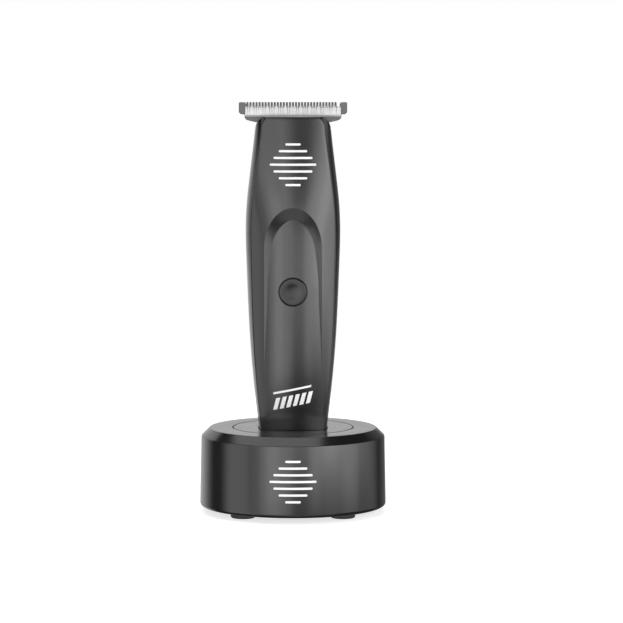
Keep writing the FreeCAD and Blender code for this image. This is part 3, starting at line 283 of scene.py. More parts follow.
# ---- curves along the hand piece ----
def natural_spline(xs, ys):
    """A function through the points (xs, ys) whose slope and bend run smoothly."""
    count = len(xs)
    gaps = np.diff(xs)
    matrix = np.zeros((count, count))
    target = np.zeros(count)
    matrix[0, 0] = 1
    matrix[-1, -1] = 1
    for i in range(1, count - 1):
        matrix[i, i - 1:i + 2] = gaps[i - 1], 2 * (gaps[i - 1] + gaps[i]), gaps[i]
        target[i] = 6 * ((ys[i + 1] - ys[i]) / gaps[i] - (ys[i] - ys[i - 1]) / gaps[i - 1])
    bends = np.linalg.solve(matrix, target)

    def evaluate(x):
        i = int(np.clip(np.searchsorted(xs, x) - 1, 0, count - 2))
        a = (xs[i + 1] - x) / gaps[i]
        b = (x - xs[i]) / gaps[i]
        curve = (a ** 3 - a) * bends[i] + (b ** 3 - b) * bends[i + 1]
        return a * ys[i] + b * ys[i + 1] + curve * gaps[i] ** 2 / 6

    return evaluate


def eased(share):
    """The share of a change that is done, starting and ending gently, held between 0 and 1."""
    share = min(1.0, max(0.0, share))
    return share * share * (3 - 2 * share)


half_width = natural_spline(STATIONS[:, 0], STATIONS[:, 1])
front_depth = natural_spline(STATIONS[:, 0], STATIONS[:, 2])
back_depth = natural_spline(STATIONS[:, 0], STATIONS[:, 3])


def face_edge(z):
    """Half the width of the front face."""
    return half_width(z) - STRIP_INSET - STRIP_GROWTH * z


def face_drop(z, x):
    """How far the front face has fallen back at a distance x from its middle."""
    share = eased((z - HEAD_FACE_START_Z) / (HEAD_FACE_END_Z - HEAD_FACE_START_Z))
    radius = FACE_RADIUS + (HEAD_FACE_RADIUS - FACE_RADIUS) * share
    return radius - math.sqrt(radius ** 2 - x ** 2)


def crease_y(z):
    """The depth of the parting line between the front and rear housings."""
    return face_drop(z, face_edge(z)) - front_depth(z)


def recess_inside(x, z):
    """The distance inside the outline of the thumb recess, negative outside it."""
    if z <= RECESS_SPRING_Z:
        return RECESS_HALF_WIDTH - abs(x)
    rise = RECESS_APEX_Z - RECESS_SPRING_Z
    up = z - RECESS_SPRING_Z
    level = math.hypot(x / RECESS_HALF_WIDTH, up / rise)
    steepness = math.hypot(x / RECESS_HALF_WIDTH ** 2, up / rise ** 2)
    return (1 - level) * level / max(steepness, 1e-6)


def recess_floor(z):
    """The recess's depth at its floor: shallow along the grip, deeper above the button."""
    share = max(0.0, (z - RECESS_START_Z) / (RECESS_FULL_Z - RECESS_START_Z))
    groove = GROOVE_DEPTH * eased((z - GROOVE_START_Z) / (GROOVE_FULL_Z - GROOVE_START_Z))
    return RECESS_DEPTH * share ** RECESS_POWER + groove


def face_y(x, z):
    """The front face, with its crown and the thumb recess."""
    land = crease_y(z)
    flatten = 1.0 - FACE_LIP / (front_depth(z) + land)
    y = flatten * face_drop(z, x) - front_depth(z)
    if z > GROOVE_START_Z:
        y += max(0.0, min(recess_floor(z), RECESS_SLOPE * recess_inside(x, z)))
    return y


def rear_section(z, wall=0.0, rim=0.0, forward=0.0, strip_steps=10, back_steps=56):
    """The rear housing's outline at one height: right strip, rounded back, left strip."""
    wide = half_width(z) - wall
    edge = face_edge(z) - rim
    crease = crease_y(z) - forward
    back = back_depth(z) - wall
    right = []
    for i in range(strip_steps, 0, -1):
        u = i / strip_steps
        right.append((wide - (wide - edge) * u ** STRIP_POWER, crease * u))
    around = []
    for i in range(back_steps + 1):
        turn = math.pi * i / back_steps
        cosine = math.cos(turn)
        x = math.copysign(wide * abs(cosine) ** BACK_POWER, cosine)
        around.append((x, back * abs(math.sin(turn)) ** BACK_POWER))
    left = [(-x, y) for x, y in reversed(right)]
    return right + around + left


def whole_section(z):
    """The hand piece's whole outline at one height."""
    edge = face_edge(z)
    face = [(edge * t, face_drop(z, edge * t) - front_depth(z)) for t in np.linspace(-1, 1, 25)]
    return rear_section(z) + face[1:-1]


# ---- mesh helpers ----
def rounded_path(corners, radii, steps=6):
    """The points of a path whose corners are rounded; the path is closed."""
    path = []
    for i, corner in enumerate(corners):
        here = Vector(corner)
        if radii[i] == 0:
            path.append(tuple(here))
            continue
        back = (Vector(corners[i - 1]) - here).normalized()
        ahead = (Vector(corners[(i + 1) % len(corners)]) - here).normalized()
        half = back.angle(ahead) / 2
        reach = radii[i] / math.tan(half)
        centre = here + (back + ahead).normalized() * (radii[i] / math.sin(half))
        start = here + back * reach - centre
        sweep = start.angle_signed(here + ahead * reach - centre)
        for k in range(steps + 1):
            turn = -sweep * k / steps
            path.append((centre.x + start.x * math.cos(turn) - start.y * math.sin(turn),
                         centre.y + start.x * math.sin(turn) + start.y * math.cos(turn)))
    return path


def ring_solid(rings, closed_path=True):
    """A solid skinned over rings of equal point counts; the last ring joins the first."""
    count = len(rings[0])
    verts = [point for ring in rings for point in ring]
    faces = []
    last = len(rings) if closed_path else len(rings) - 1
    for i in range(last):
        below = i * count
        above = ((i + 1) % len(rings)) * count
        for j in range(count):
            k = (j + 1) % count
            faces.append((below + j, below + k, above + k, above + j))
    if not closed_path:
        faces.append(tuple(range(count))[::-1])
        faces.append(tuple(range((len(rings) - 1) * count, len(rings) * count)))
    return verts, faces


def turned(profile, centre=(0.0, 0.0, 0.0), axis="z", around=AROUND):
    """A solid of revolution from a closed path of (radius, height along the axis) points."""
    rings = []
    for radius, height in profile:
        ring = []
        for k in range(around):
            turn = 2 * math.pi * k / around
            a = radius * math.cos(turn)
            b = radius * math.sin(turn)
            point = (a, b, height) if axis == "z" else (a, height, b)
            ring.append(tuple(p + c for p, c in zip(point, centre)))
        rings.append(ring)
    return ring_solid(rings)


def lifted(loops, lines, extra, keep, low, high, to_space):
    """A solid over a flat region: triangulated in its plane, then raised to two heights."""
    points = []
    edges = []
    for loop in loops:
        start = len(points)
        points.extend(Vector(p) for p in loop)
        edges.extend((start + i, start + (i + 1) % len(loop)) for i in range(len(loop)))
    for line in lines:
        start = len(points)
        points.extend(Vector(p) for p in line)
        edges.extend((start + i, start + i + 1) for i in range(len(line) - 1))
    points.extend(Vector(p) for p in extra)
    flat, _, tris, _, _, _ = delaunay_2d_cdt(points, edges, [], 0, JOIN_TOLERANCE)
    kept = []
    for tri in tris:
        middle = sum((flat[i] for i in tri), Vector((0, 0))) / len(tri)
        if keep(middle.x, middle.y):
            kept.append(tuple(tri))
    count = len(flat)
    verts = [to_space(p.x, p.y, high(p.x, p.y)) for p in flat]
    verts += [to_space(p.x, p.y, low(p.x, p.y)) for p in flat]
    faces = list(kept)
    faces += [tuple(i + count for i in reversed(tri)) for tri in kept]
    rim = {}
    for tri in kept:
        for i in range(3):
            a, b = tri[i], tri[(i + 1) % 3]
            if (b, a) in rim:
                del rim[(b, a)]
            else:
                rim[(a, b)] = True
    faces += [(b, a, a + count, b + count) for a, b in rim]
    return verts, faces


def box_solid(x0, x1, y0, y1, z0, z1):
    """A box between two values of each coordinate."""
    verts = [(x, y, z) for z in (z0, z1) for y in (y0, y1) for x in (x0, x1)]
    faces = [(0, 2, 3, 1), (4, 5, 7, 6), (0, 1, 5, 4), (1, 3, 7, 5), (3, 2, 6, 7), (2, 0, 4, 6)]
    return verts, faces


def rod(radius, start, end, centre, axis, around=48):
    """A cylinder between two heights along the y or z axis."""
    return turned([(0, start), (radius, start), (radius, end), (0, end)], centre, axis, around)


def mesh_object(name, parts):
    """An object, in metres, from solids given in millimetres."""
    verts = []
    faces = []
    for part_verts, part_faces in parts:
        start = len(verts)
        verts.extend((x * MM, y * MM, z * MM) for x, y, z in part_verts)
        faces.extend(tuple(i + start for i in face) for face in part_faces)
    mesh = bpy.data.meshes.new(name)
    mesh.from_pydata(verts, [], faces)
    work = bmesh.new()
    work.from_mesh(mesh)
    bmesh.ops.remove_doubles(work, verts=work.verts, dist=MERGE_DISTANCE)
    bmesh.ops.dissolve_degenerate(work, dist=MERGE_DISTANCE, edges=work.edges)
    loose = [v for v in work.verts if not v.link_faces]
    bmesh.ops.delete(work, geom=loose, context="VERTS")
    bmesh.ops.recalc_face_normals(work, faces=work.faces)
    work.to_mesh(mesh)
    work.free()
    obj = bpy.data.objects.new(name, mesh)
    bpy.context.scene.collection.objects.link(obj)
    return obj


def carve(obj, tools, operation="DIFFERENCE"):
    """Cuts each tool solid from the object, or joins it on."""
    for solid in tools:
        tool = mesh_object("tool", [solid])
        change = obj.modifiers.new("carve", "BOOLEAN")
        change.operation = operation
        change.solver = "EXACT"
        change.object = tool
        shaped = obj.evaluated_get(bpy.context.evaluated_depsgraph_get())
        mesh = bpy.data.meshes.new_from_object(shaped)
        obj.modifiers.clear()
        obj.data = mesh
        bpy.data.objects.remove(tool)


def add_solids(obj, solids):
    """Adds more closed solids to the object's mesh."""
    more = mesh_object("more", solids)
    work = bmesh.new()
    work.from_mesh(obj.data)
    work.from_mesh(more.data)
    work.to_mesh(obj.data)
    work.free()
    bpy.data.objects.remove(more)


def dress(obj, body, slot, replaces=(), sharp_degrees=30.0, material=None):
    """Gives the object its shading, its material, its body and the CAD nodes it stands for."""
    work = bmesh.new()
    work.from_mesh(obj.data)
    for face in work.faces:
        face.smooth = True
    for edge in work.edges:
        if len(edge.link_faces) == 2:
            edge.smooth = edge.calc_face_angle(0.0) < math.radians(sharp_degrees)
    work.to_mesh(obj.data)
    work.free()
    obj.data.materials.clear()
    obj.data.materials.append(material or MATERIALS[slot])
    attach(obj, body)
    if replaces:
        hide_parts(*replaces)


# ---- materials ----
def node_material(name):
    """A new material, with its nodes and their links."""
    material = bpy.data.materials.new(name)
    material.use_nodes = True
    return material, material.node_tree.nodes, material.node_tree.links


def noise(nodes, links, scale, detail, stretch=(1, 1, 1)):
    """Noise in the object's own coordinates, which are metres."""
    where = nodes.new("ShaderNodeTexCoord")
    shape = nodes.new("ShaderNodeMapping")
    shape.inputs["Scale"].default_value = stretch
    texture = nodes.new("ShaderNodeTexNoise")
    texture.inputs["Scale"].default_value = scale
    texture.inputs["Detail"].default_value = detail
    links.new(where.outputs["Object"], shape.inputs["Vector"])
    links.new(shape.outputs["Vector"], texture.inputs["Vector"])
    return texture.outputs["Fac"]


def ranged(nodes, links, value, low, high):
    """A noise's usual values spread from low to high."""
    spread = nodes.new("ShaderNodeMapRange")
    spread.inputs["From Min"].default_value = NOISE_LOW
    spread.inputs["From Max"].default_value = NOISE_HIGH
    spread.inputs["To Min"].default_value = low
    spread.inputs["To Max"].default_value = high
    links.new(value, spread.inputs["Value"])
    return spread.outputs["Result"]


def tinted(nodes, links, value, first, second):
    """A colour between two, chosen by the value."""
    mix = nodes.new("ShaderNodeMix")
    mix.data_type = "RGBA"
    mix.inputs["A"].default_value = (*first, 1)
    mix.inputs["B"].default_value = (*second, 1)
    links.new(value, mix.inputs["Factor"])
    return mix.outputs["Result"]


def bumped(nodes, links, value, height_mm):
    """A shading normal raised by the value, up to a height in millimetres."""
    bump = nodes.new("ShaderNodeBump")
    bump.inputs["Distance"].default_value = height_mm * MM
    links.new(value, bump.inputs["Height"])
    return bump.outputs["Normal"]


def surface(name, first, second, rough_low, rough_high, grain, bump_mm, metallic=0.0,
            mottle=60.0, stretch=(1, 1, 1), specular=0.5, coat=0.0):
    """A moulded, cast or ground surface: mottled colour, uneven roughness and fine relief."""
    material, nodes, links = node_material(name)
    shader = nodes["Principled BSDF"]
    shader.inputs["Metallic"].default_value = metallic
    shader.inputs["Specular IOR Level"].default_value = specular
    shader.inputs["Coat Weight"].default_value = coat
    broad = ranged(nodes, links, noise(nodes, links, mottle, 4.0), 0.0, 1.0)
    links.new(tinted(nodes, links, broad, first, second), shader.inputs["Base Color"])
    wear = noise(nodes, links, mottle * 4, 5.0, stretch)
    links.new(ranged(nodes, links, wear, rough_low, rough_high), shader.inputs["Roughness"])
    relief = noise(nodes, links, grain, 2.0, stretch)
    links.new(bumped(nodes, links, relief, bump_mm), shader.inputs["Normal"])
    return material


PRINT_WHITE = surface("white_print", (0.86, 0.86, 0.86), (0.92, 0.92, 0.92),
                      0.45, 0.55, 3000, 0.001)
MATERIALS = {
    "housing": surface("housing_satin", (0.0068, 0.0068, 0.0072), (0.0092, 0.0092, 0.0096),
                       0.18, 0.21, 5200, 0.0010, specular=1.0),
    "base_body": surface("base_satin", (0.0064, 0.0064, 0.0068), (0.0084, 0.0084, 0.0088),
                         0.18, 0.21, 5200, 0.0010, specular=1.0),
    "button": surface("button_satin", (0.0060, 0.0060, 0.0062), (0.0080, 0.0080, 0.0082),
                      0.20, 0.24, 5600, 0.0010, specular=0.72),
    "blade_black": surface("blade_coating", (0.140, 0.140, 0.144), (0.170, 0.170, 0.174),
                           0.26, 0.34, 2400, 0.002, metallic=1.0, stretch=(1, 1, 6)),
    "cutter_steel": surface("cutter_ground_steel", (0.84, 0.85, 0.86), (0.76, 0.77, 0.78),
                            0.40, 0.50, 1800, 0.002, metallic=1.0, stretch=(8, 8, 1)),
    "foot_rubber": surface("foot_rubber", (0.020, 0.020, 0.020), (0.034, 0.034, 0.034),
                           0.62, 0.78, 2600, 0.010),
    "inner_plastic": surface("inner_plastic", (0.035, 0.035, 0.037), (0.050, 0.050, 0.052),
                             0.42, 0.55, 2600, 0.004),
    "pale_plastic": surface("pale_plastic", (0.66, 0.66, 0.63), (0.74, 0.74, 0.71),
                            0.38, 0.50, 2400, 0.003),
    "steel": surface("plated_steel", (0.52, 0.52, 0.54), (0.62, 0.62, 0.64),
                     0.22, 0.38, 2000, 0.003, metallic=1.0),
    "spring_steel": surface("spring_steel", (0.46, 0.46, 0.48), (0.56, 0.56, 0.58),
                            0.20, 0.32, 3000, 0.002, metallic=1.0),
    "brass": surface("plated_brass", (0.78, 0.56, 0.24), (0.86, 0.66, 0.34),
                     0.18, 0.30, 2600, 0.002, metallic=1.0),
    "circuit_board": surface("solder_mask", (0.012, 0.11, 0.045), (0.020, 0.15, 0.065),
                             0.25, 0.36, 1400, 0.003, coat=0.3),
    "chip": surface("moulded_epoxy", (0.018, 0.018, 0.020), (0.030, 0.030, 0.033),
                    0.40, 0.55, 3200, 0.004),
    "cell_sleeve": surface("shrink_sleeve", (0.018, 0.09, 0.30), (0.030, 0.12, 0.36),
                           0.25, 0.38, 900, 0.004, coat=0.2),
    "magnet": surface("sintered_ferrite", (0.030, 0.030, 0.032), (0.052, 0.050, 0.050),
                      0.50, 0.70, 2200, 0.010),
    "bronze": surface("sintered_bronze", (0.36, 0.20, 0.09), (0.48, 0.29, 0.14),
                      0.35, 0.55, 2800, 0.008, metallic=1.0),
}


def dress_cad_nodes():
    """Every CAD node takes the procedural material of its slot in the record."""
    for entry in frame["record"]["subparts"]:
        obj = frame["nodes"][entry["node"]]
        material = MATERIALS[entry["material_slot"]]
        if not obj.material_slots:
            obj.data.materials.append(material)
        for place in obj.material_slots:
            place.material = material


# ---- building the hand piece ----
def face_outline(inset):
    """The front face's outline, inset evenly, from the bottom left round to the top left."""
    top_x = face_edge(BODY_TOP_Z) - FACE_SEAM
    bottom_x = face_edge(BODY_BOTTOM_Z) - FACE_SEAM
    side = []
    for z in np.linspace(BODY_BOTTOM_Z, BODY_TOP_Z - FACE_CORNER_RADIUS, 122):
        side.append((face_edge(z) - FACE_SEAM, z))
    corner = []
    for turn in np.linspace(0, math.pi / 2, 9)[1:]:
        corner.append((top_x - FACE_CORNER_RADIUS * (1 - math.cos(turn)),
                       BODY_TOP_Z - FACE_CORNER_RADIUS * (1 - math.sin(turn))))
    top = [(x, BODY_TOP_Z) for x in np.linspace(corner[-1][0], 0, 10)[1:-1]]
    bottom = [(x, BODY_BOTTOM_Z) for x in np.linspace(0, bottom_x, 12)[1:-1]]
    right = bottom + side + corner + top
    loop = right + [(0, BODY_TOP_Z)] + [(-x, z) for x, z in reversed(right)] + [(0, BODY_BOTTOM_Z)]
    if inset == 0:
        return loop
    moved = []
    for i, point in enumerate(loop):
        before = Vector(loop[i - 1])
        after = Vector(loop[(i + 1) % len(loop)])
        here = Vector(point)
        one = (here - before).normalized()
        two = (after - here).normalized()
        normal = Vector((-one.y - two.y, one.x + two.x)).normalized()
        reach = inset / max(0.5, normal.dot(Vector((-one.y, one.x))))
        moved.append(tuple(here + normal * reach))
    return moved


def recess_lines():
    """The outer and inner edges of the recess's bevel, as lines that end low on the grip."""
    rise = RECESS_APEX_Z - RECESS_SPRING_Z
    outer = []
    inner = []
    side_zs = np.linspace(GROOVE_START_Z + 3.0, RECESS_SPRING_Z, BEVEL_STEPS)
    places = [((RECESS_HALF_WIDTH, z), (-1.0, 0.0)) for z in side_zs]
    for turn in np.linspace(0, math.pi, 60)[1:-1]:
        x = RECESS_HALF_WIDTH * math.cos(turn)
        z = RECESS_SPRING_Z + rise * math.sin(turn)
        normal = Vector((-math.cos(turn) / RECESS_HALF_WIDTH, -math.sin(turn) / rise)).normalized()
        places.append(((x, z), tuple(normal)))
    places += [((-x, z), (1.0, 0.0)) for (x, z), normal in reversed(places[:BEVEL_STEPS])]
    for (x, z), (nx, nz) in places:
        wide = 0.0
        for _ in range(12):
            wide = recess_floor(z + nz * wide) / RECESS_SLOPE
        outer.append((x, z))
        inner.append((x + nx * wide, z + nz * wide))
    return outer, inner


def circle(radius, x, z, count=96):
    """The points of a circle round (x, z)."""
    turns = [2 * math.pi * k / count for k in range(count)]
    return [(x + radius * math.cos(turn), z + radius * math.sin(turn)) for turn in turns]


def make_front_shell():
    """The front housing: crowned face, thumb recess, rounded lip and button hole."""
    insets = (0.0, 0.05, 0.13, 0.26, LIP_RADIUS, THICKENING_START, 2.0)
    loops = [face_outline(inset) for inset in insets]
    hole_rings = (BUTTON_HOLE_RADIUS, 5.2, 5.3, BUTTON_HOLE_RADIUS + HOLE_EDGE_RADIUS)
    loops += [circle(radius, 0, BUTTON_Z) for radius in hole_rings]
    corner_x = face_edge(BODY_TOP_Z) - FACE_SEAM - FACE_CORNER_RADIUS
    corner_z = BODY_TOP_Z - FACE_CORNER_RADIUS
    extra = []
    for z in np.arange(BODY_BOTTOM_Z + FACE_GRID_MARGIN, BODY_TOP_Z - FACE_GRID_MARGIN, FACE_GRID):
        reach = face_edge(z) - FACE_SEAM - FACE_GRID_MARGIN
        count = int(2 * reach / FACE_GRID)
        for x in np.linspace(-reach, reach, count):
            if math.hypot(x, z - BUTTON_Z) > BUTTON_HOLE_RADIUS + 0.7:
                extra.append((x, z))

    def edge_gap(x, z):
        """About how far a point is inside the outline."""
        side = face_edge(z) - FACE_SEAM - abs(x)
        gap = min(side, BODY_TOP_Z - z, z - BODY_BOTTOM_Z)
        if abs(x) > corner_x and z > corner_z:
            gap = min(gap, FACE_CORNER_RADIUS - math.hypot(abs(x) - corner_x, z - corner_z))
        return max(0.0, gap)

    def rounded_edge(gap, radius):
        """How far a rounded edge falls back at a distance inside it."""
        if gap >= radius:
            return 0.0
        return radius - math.sqrt(max(0.0, radius ** 2 - (radius - gap) ** 2))

    def high(x, z):
        hole_gap = math.hypot(x, z - BUTTON_Z) - BUTTON_HOLE_RADIUS
        y = face_y(x, z) + LIP_FALL * rounded_edge(edge_gap(x, z), LIP_RADIUS)
        return y + rounded_edge(max(0.0, hole_gap), HOLE_EDGE_RADIUS)

    def low(x, z):
        gap = edge_gap(x, z)
        deep = min(1.0, max(0.0, (gap - THICKENING_START) / THICKENING_LENGTH))
        back = face_y(x, z) + FACE_EDGE_THICKNESS + FACE_THICKENING * deep
        return max(back, high(x, z) + 0.02)

    def keep(x, z):
        return edge_gap(x, z) > 0 and math.hypot(x, z - BUTTON_Z) > BUTTON_HOLE_RADIUS

    face = lifted(loops, recess_lines(), extra, keep, low, high, lambda x, z, y: (x, y, z))
    top_outline = rounded_path(TOP_WALL_OUTLINE, TOP_WALL_RADII)
    top_z = BODY_TOP_Z - TOP_WALL_DROP
    rings = [[(x, y, z) for x, y in top_outline] for z in (top_z - TOP_WALL_THICKNESS, top_z)]
    top_wall = ring_solid(rings, closed_path=False)
    obj = mesh_object("front_shell", [face, top_wall])
    dress(obj, "handset", "housing", ["front_housing"], 12)


def section_rings(z_values, **thinning):
    """The rear housing's outline at each height, which above its top stays as it is there."""
    rings = []
    for z in z_values:
        clamped = min(z, BODY_TOP_Z)
        rings.append([(x, y, z) for x, y in rear_section(clamped, **thinning)])
    return rings


def make_rear_shell():
    """The rear housing, hollow, with its openings for the blade, screws and charge contacts."""
    heights = np.linspace(BODY_BOTTOM_Z, BODY_TOP_Z, 128)
    obj = mesh_object("rear_shell", [ring_solid(section_rings(heights), closed_path=False)])
    inner_heights = np.linspace(BODY_BOTTOM_Z + FLOOR_THICKNESS, BODY_TOP_Z + 1.0, 90)
    cavity = ring_solid(section_rings(inner_heights, wall=HOUSING_WALL, rim=RIM_WIDTH, forward=1.0),
                        closed_path=False)
    cuts = [cavity]
    for side in (-1, 1):
        arch = [(HEAD_CORNER_X + HEAD_CORNER_RADIUS * math.sin(t),
                 HEAD_CORNER_Z + HEAD_CORNER_RADIUS * math.cos(t))
                for t in np.linspace(-0.05, math.pi / 2 + 0.05, 16)]
        outer = HEAD_CORNER_X + 12
        above = BODY_TOP_Z + 6
        outline = arch + [(outer, HEAD_CORNER_Z - 0.4), (outer, above),
                          (HEAD_CORNER_X - 0.4, above)]
        rings = [[(side * x, y, z) for x, z in outline] for y in (-30, 30)]
        cuts.append(ring_solid(rings, closed_path=False))
    tubes = []
    for x, z in HOUSING_SCREW_PLACES:
        cuts.append(rod(SCREW_CUT_RADIUS, SCREW_SEAT_Y, 25, (x, 0, z), "y", 61))
        share = (abs(x) + SCREW_TUBE_RADIUS) / half_width(z)
        round_off = (1 - share ** (2 / BACK_POWER)) ** (BACK_POWER / 2)
        top = back_depth(z + SCREW_TUBE_RADIUS) * round_off - SCREW_TUBE_SUNK
        tube = [(SCREW_HOLE_RADIUS, SCREW_TUBE_START_Y), (SCREW_TUBE_RADIUS, SCREW_TUBE_START_Y),
                (SCREW_TUBE_RADIUS, top), (SCREW_HEAD_RADIUS, top),
                (SCREW_HEAD_RADIUS, SCREW_SEAT_Y), (SCREW_HOLE_RADIUS, SCREW_SEAT_Y)]
        tubes.append(turned(tube, (x, 0, z), "y", 64))
    for half, y0, y1, z0, z1 in HEAD_OPENINGS:
        cuts.append(box_solid(-half, half, y0, y1, z0, z1))
    for side in (-1, 1):
        place = (side * CONTACT_X, 0, 0)
        cuts.append(rod(CONTACT_FACE_RADIUS, 10, CONTACT_RECESS_TOP_Z, place, "z"))
        cuts.append(rod(CONTACT_HOLE_RADIUS, 10, 30, place, "z"))
    carve(obj, cuts)
    add_solids(obj, tubes)
    dress(obj, "handset", "housing", ["rear_housing"], 26)


def make_button():
    """A round cap with a softly dished middle and a retaining flange."""
    front = BUTTON_FRONT_Y
    corners = [(0, BUTTON_NUB_Y), (BUTTON_NUB_RADIUS, BUTTON_NUB_Y),
               (BUTTON_NUB_RADIUS, BUTTON_BACK_Y), (BUTTON_FLANGE_RADIUS, BUTTON_BACK_Y),
               (BUTTON_FLANGE_RADIUS, BUTTON_FLANGE_Y), (BUTTON_RADIUS, BUTTON_FLANGE_Y),
               (BUTTON_RADIUS, front)]
    path = rounded_path(corners + [(0, front)], [0, 0.1, 0, 0.1, 0.1, 0, 0.3, 0], 7)[:-1]
    for share in np.linspace(1.0, 0.0, 13):
        radius = BUTTON_DISH_RADIUS * share
        depth = BUTTON_DISH_START + BUTTON_DISH_DEPTH * (1 - share ** 2)
        path.append((radius, front + depth))
    obj = mesh_object("button_cap", [turned(path, (0, 0, BUTTON_Z), "y", 96)])
    dress(obj, "button", "button", ["power_button"])


# ---- building the charging base ----
def make_base_shell():
    """The base's round outside with its ledge for the insert and its hole for the inlet."""
    lip = CRADLE_RADIUS + CRADLE_SEAM
    inner = BASE_RIM_RADIUS - BASE_WALL
    ledge_bottom = CRADLE_LEDGE_Z - LEDGE_THICKNESS
    corners = [
        (BASE_RIM_RADIUS, BASE_UNDERSIDE_Z),
        (BASE_SHOULDER_RADIUS, BASE_SHOULDER_Z),
        (BASE_TOP_RADIUS, BASE_TOP_Z),
        (lip, BASE_TOP_Z),
        (lip, CRADLE_LEDGE_Z),
        (lip - LEDGE_WIDTH, CRADLE_LEDGE_Z),
        (lip - LEDGE_WIDTH, ledge_bottom),
        (lip + LEDGE_ROOT, ledge_bottom),
        (lip + LEDGE_ROOT, BASE_TOP_Z - BASE_TOP_THICKNESS),
        (BASE_TOP_RADIUS - 0.9, BASE_TOP_Z - BASE_TOP_THICKNESS),
        (BASE_SHOULDER_RADIUS - BASE_WALL, BASE_SHOULDER_Z - 1.0),
        (inner, BASE_UNDERSIDE_Z),
    ]
    radii = [1.4, 0.5, 0.5, 0.25, 0, 0.2, 0.2, 0, 0, 0.6, 0.8, 0]
    obj = mesh_object("base_outer", [turned(rounded_path(corners, radii, 8), around=256)])
    carve(obj, [rod(INLET_HOLE_RADIUS, 28.0, 40.0, (0, 0, INLET_Z), "y", 72)])
    dress(obj, "base", "base_body", ["base_shell"], 20)


def polar_outline(z, turns):
    """The hand piece's outline at one height, as a radius for each turn about the axis."""
    outline = np.array(whole_section(z))
    angles = np.unwrap(np.arctan2(outline[:, 1], outline[:, 0]))
    order = np.argsort(angles)
    angles = angles[order]
    radii = np.hypot(outline[:, 0], outline[:, 1])[order]
    return np.interp(turns, angles, radii, period=2 * math.pi)


def make_cradle():
    """The round insert: flat top, a pocket shaped like the hand piece, and holes for the pins."""
    count = 288
    turns = np.linspace(0, 2 * math.pi, count, endpoint=False)
    for side in (1, -1):
        corner = math.atan2(crease_y(BASE_TOP_Z), side * face_edge(BASE_TOP_Z)) % (2 * math.pi)
        turns[np.argmin(np.abs(turns - corner))] = corner
    mouth = polar_outline(BASE_TOP_Z, turns) + POCKET_GAP
    foot = polar_outline(BODY_BOTTOM_Z, turns) + POCKET_GAP
    disc = np.full(count, CRADLE_RADIUS)
    edge = 0.25
    brim = 0.12

    def ring(radii, z):
        return [(r * math.cos(t), r * math.sin(t), z) for r, t in zip(radii, turns)]

    rings = [ring(disc, CRADLE_LEDGE_Z)]
    for t in np.linspace(0, math.pi / 2, 6):
        rings.append(ring(disc - edge * (1 - math.cos(t)), BASE_TOP_Z - edge * (1 - math.sin(t))))
    for share in (0.25, 0.5, 0.75):
        rings.append(ring((disc - edge) * (1 - share) + (mouth + brim) * share, BASE_TOP_Z))
    for t in np.linspace(math.pi / 2, 0, 6):
        rings.append(ring(mouth + brim * (1 - math.cos(t)), BASE_TOP_Z - brim * (1 - math.sin(t))))
    for share in (0.33, 0.66, 0.96):
        z = BASE_TOP_Z - brim + (POCKET_FLOOR_Z - BASE_TOP_Z + brim) * share
        rings.append(ring(mouth * (1 - share) + foot * share, z))
    rings.append(ring(foot - 0.4, POCKET_FLOOR_Z))
    rings.append(ring(disc * 0, POCKET_FLOOR_Z))
    rings.append(ring(disc * 0, POCKET_FLOOR_Z - POCKET_FLOOR_THICKNESS))
    rings.append(ring(foot + POCKET_WALL, POCKET_FLOOR_Z - POCKET_FLOOR_THICKNESS))
    rings.append(ring(mouth + POCKET_WALL, CRADLE_LEDGE_Z))
    obj = mesh_object("cradle_insert", [ring_solid(rings)])
    holes = [rod(PIN_HOLE_RADIUS, 15, 25, (side * CONTACT_X, 0, 0), "z") for side in (-1, 1)]
    carve(obj, holes)
    dress(obj, "base", "base_body", ["base_cradle"], 24)


def make_bottom_cover():
    """The base's bottom plate, with sockets for the feet and holes over the screws."""
    profile = rounded_path([(0, BASE_UNDERSIDE_Z), (PLATE_RADIUS, BASE_UNDERSIDE_Z),
                            (PLATE_RADIUS, PLATE_TOP_Z), (0, PLATE_TOP_Z)], [0, 0.5, 0.3, 0])
    obj = mesh_object("bottom_cover", [turned(profile)])
    places = [(sx * FOOT_X, sy * FOOT_Y) for sx in (-1, 1) for sy in (-1, 1)]
    carve(obj, [rod(FOOT_RADIUS + FOOT_GAP, 0, FOOT_TOP_Z, (x, y, 0), "z", 72) for x, y in places])
    carve(obj, [rod(SCREW_CUT_RADIUS, 0, PLATE_TOP_Z - 1.0, (x, y, 0), "z") for x, y in places])
    dress(obj, "base", "base_body", ["base_bottom_plate"], 24)


def make_feet():
    """Four rubber feet, each a low round pad that widens upwards."""
    corners = [(0, 0), (FOOT_RADIUS - 0.3, 0), (FOOT_RADIUS, FOOT_TOP_Z), (0, FOOT_TOP_Z)]
    profile = rounded_path(corners, [0, 0.7, 0.2, 0])
    for end, y in (("front", -FOOT_Y), ("rear", FOOT_Y)):
        for side, x in (("left", -FOOT_X), ("right", FOOT_X)):
            name = f"{end}_{side}"
            obj = mesh_object("rubber_" + name, [turned(profile, (x, y, 0), "z", 72)])
            dress(obj, "base", "foot_rubber", ["foot_" + name])


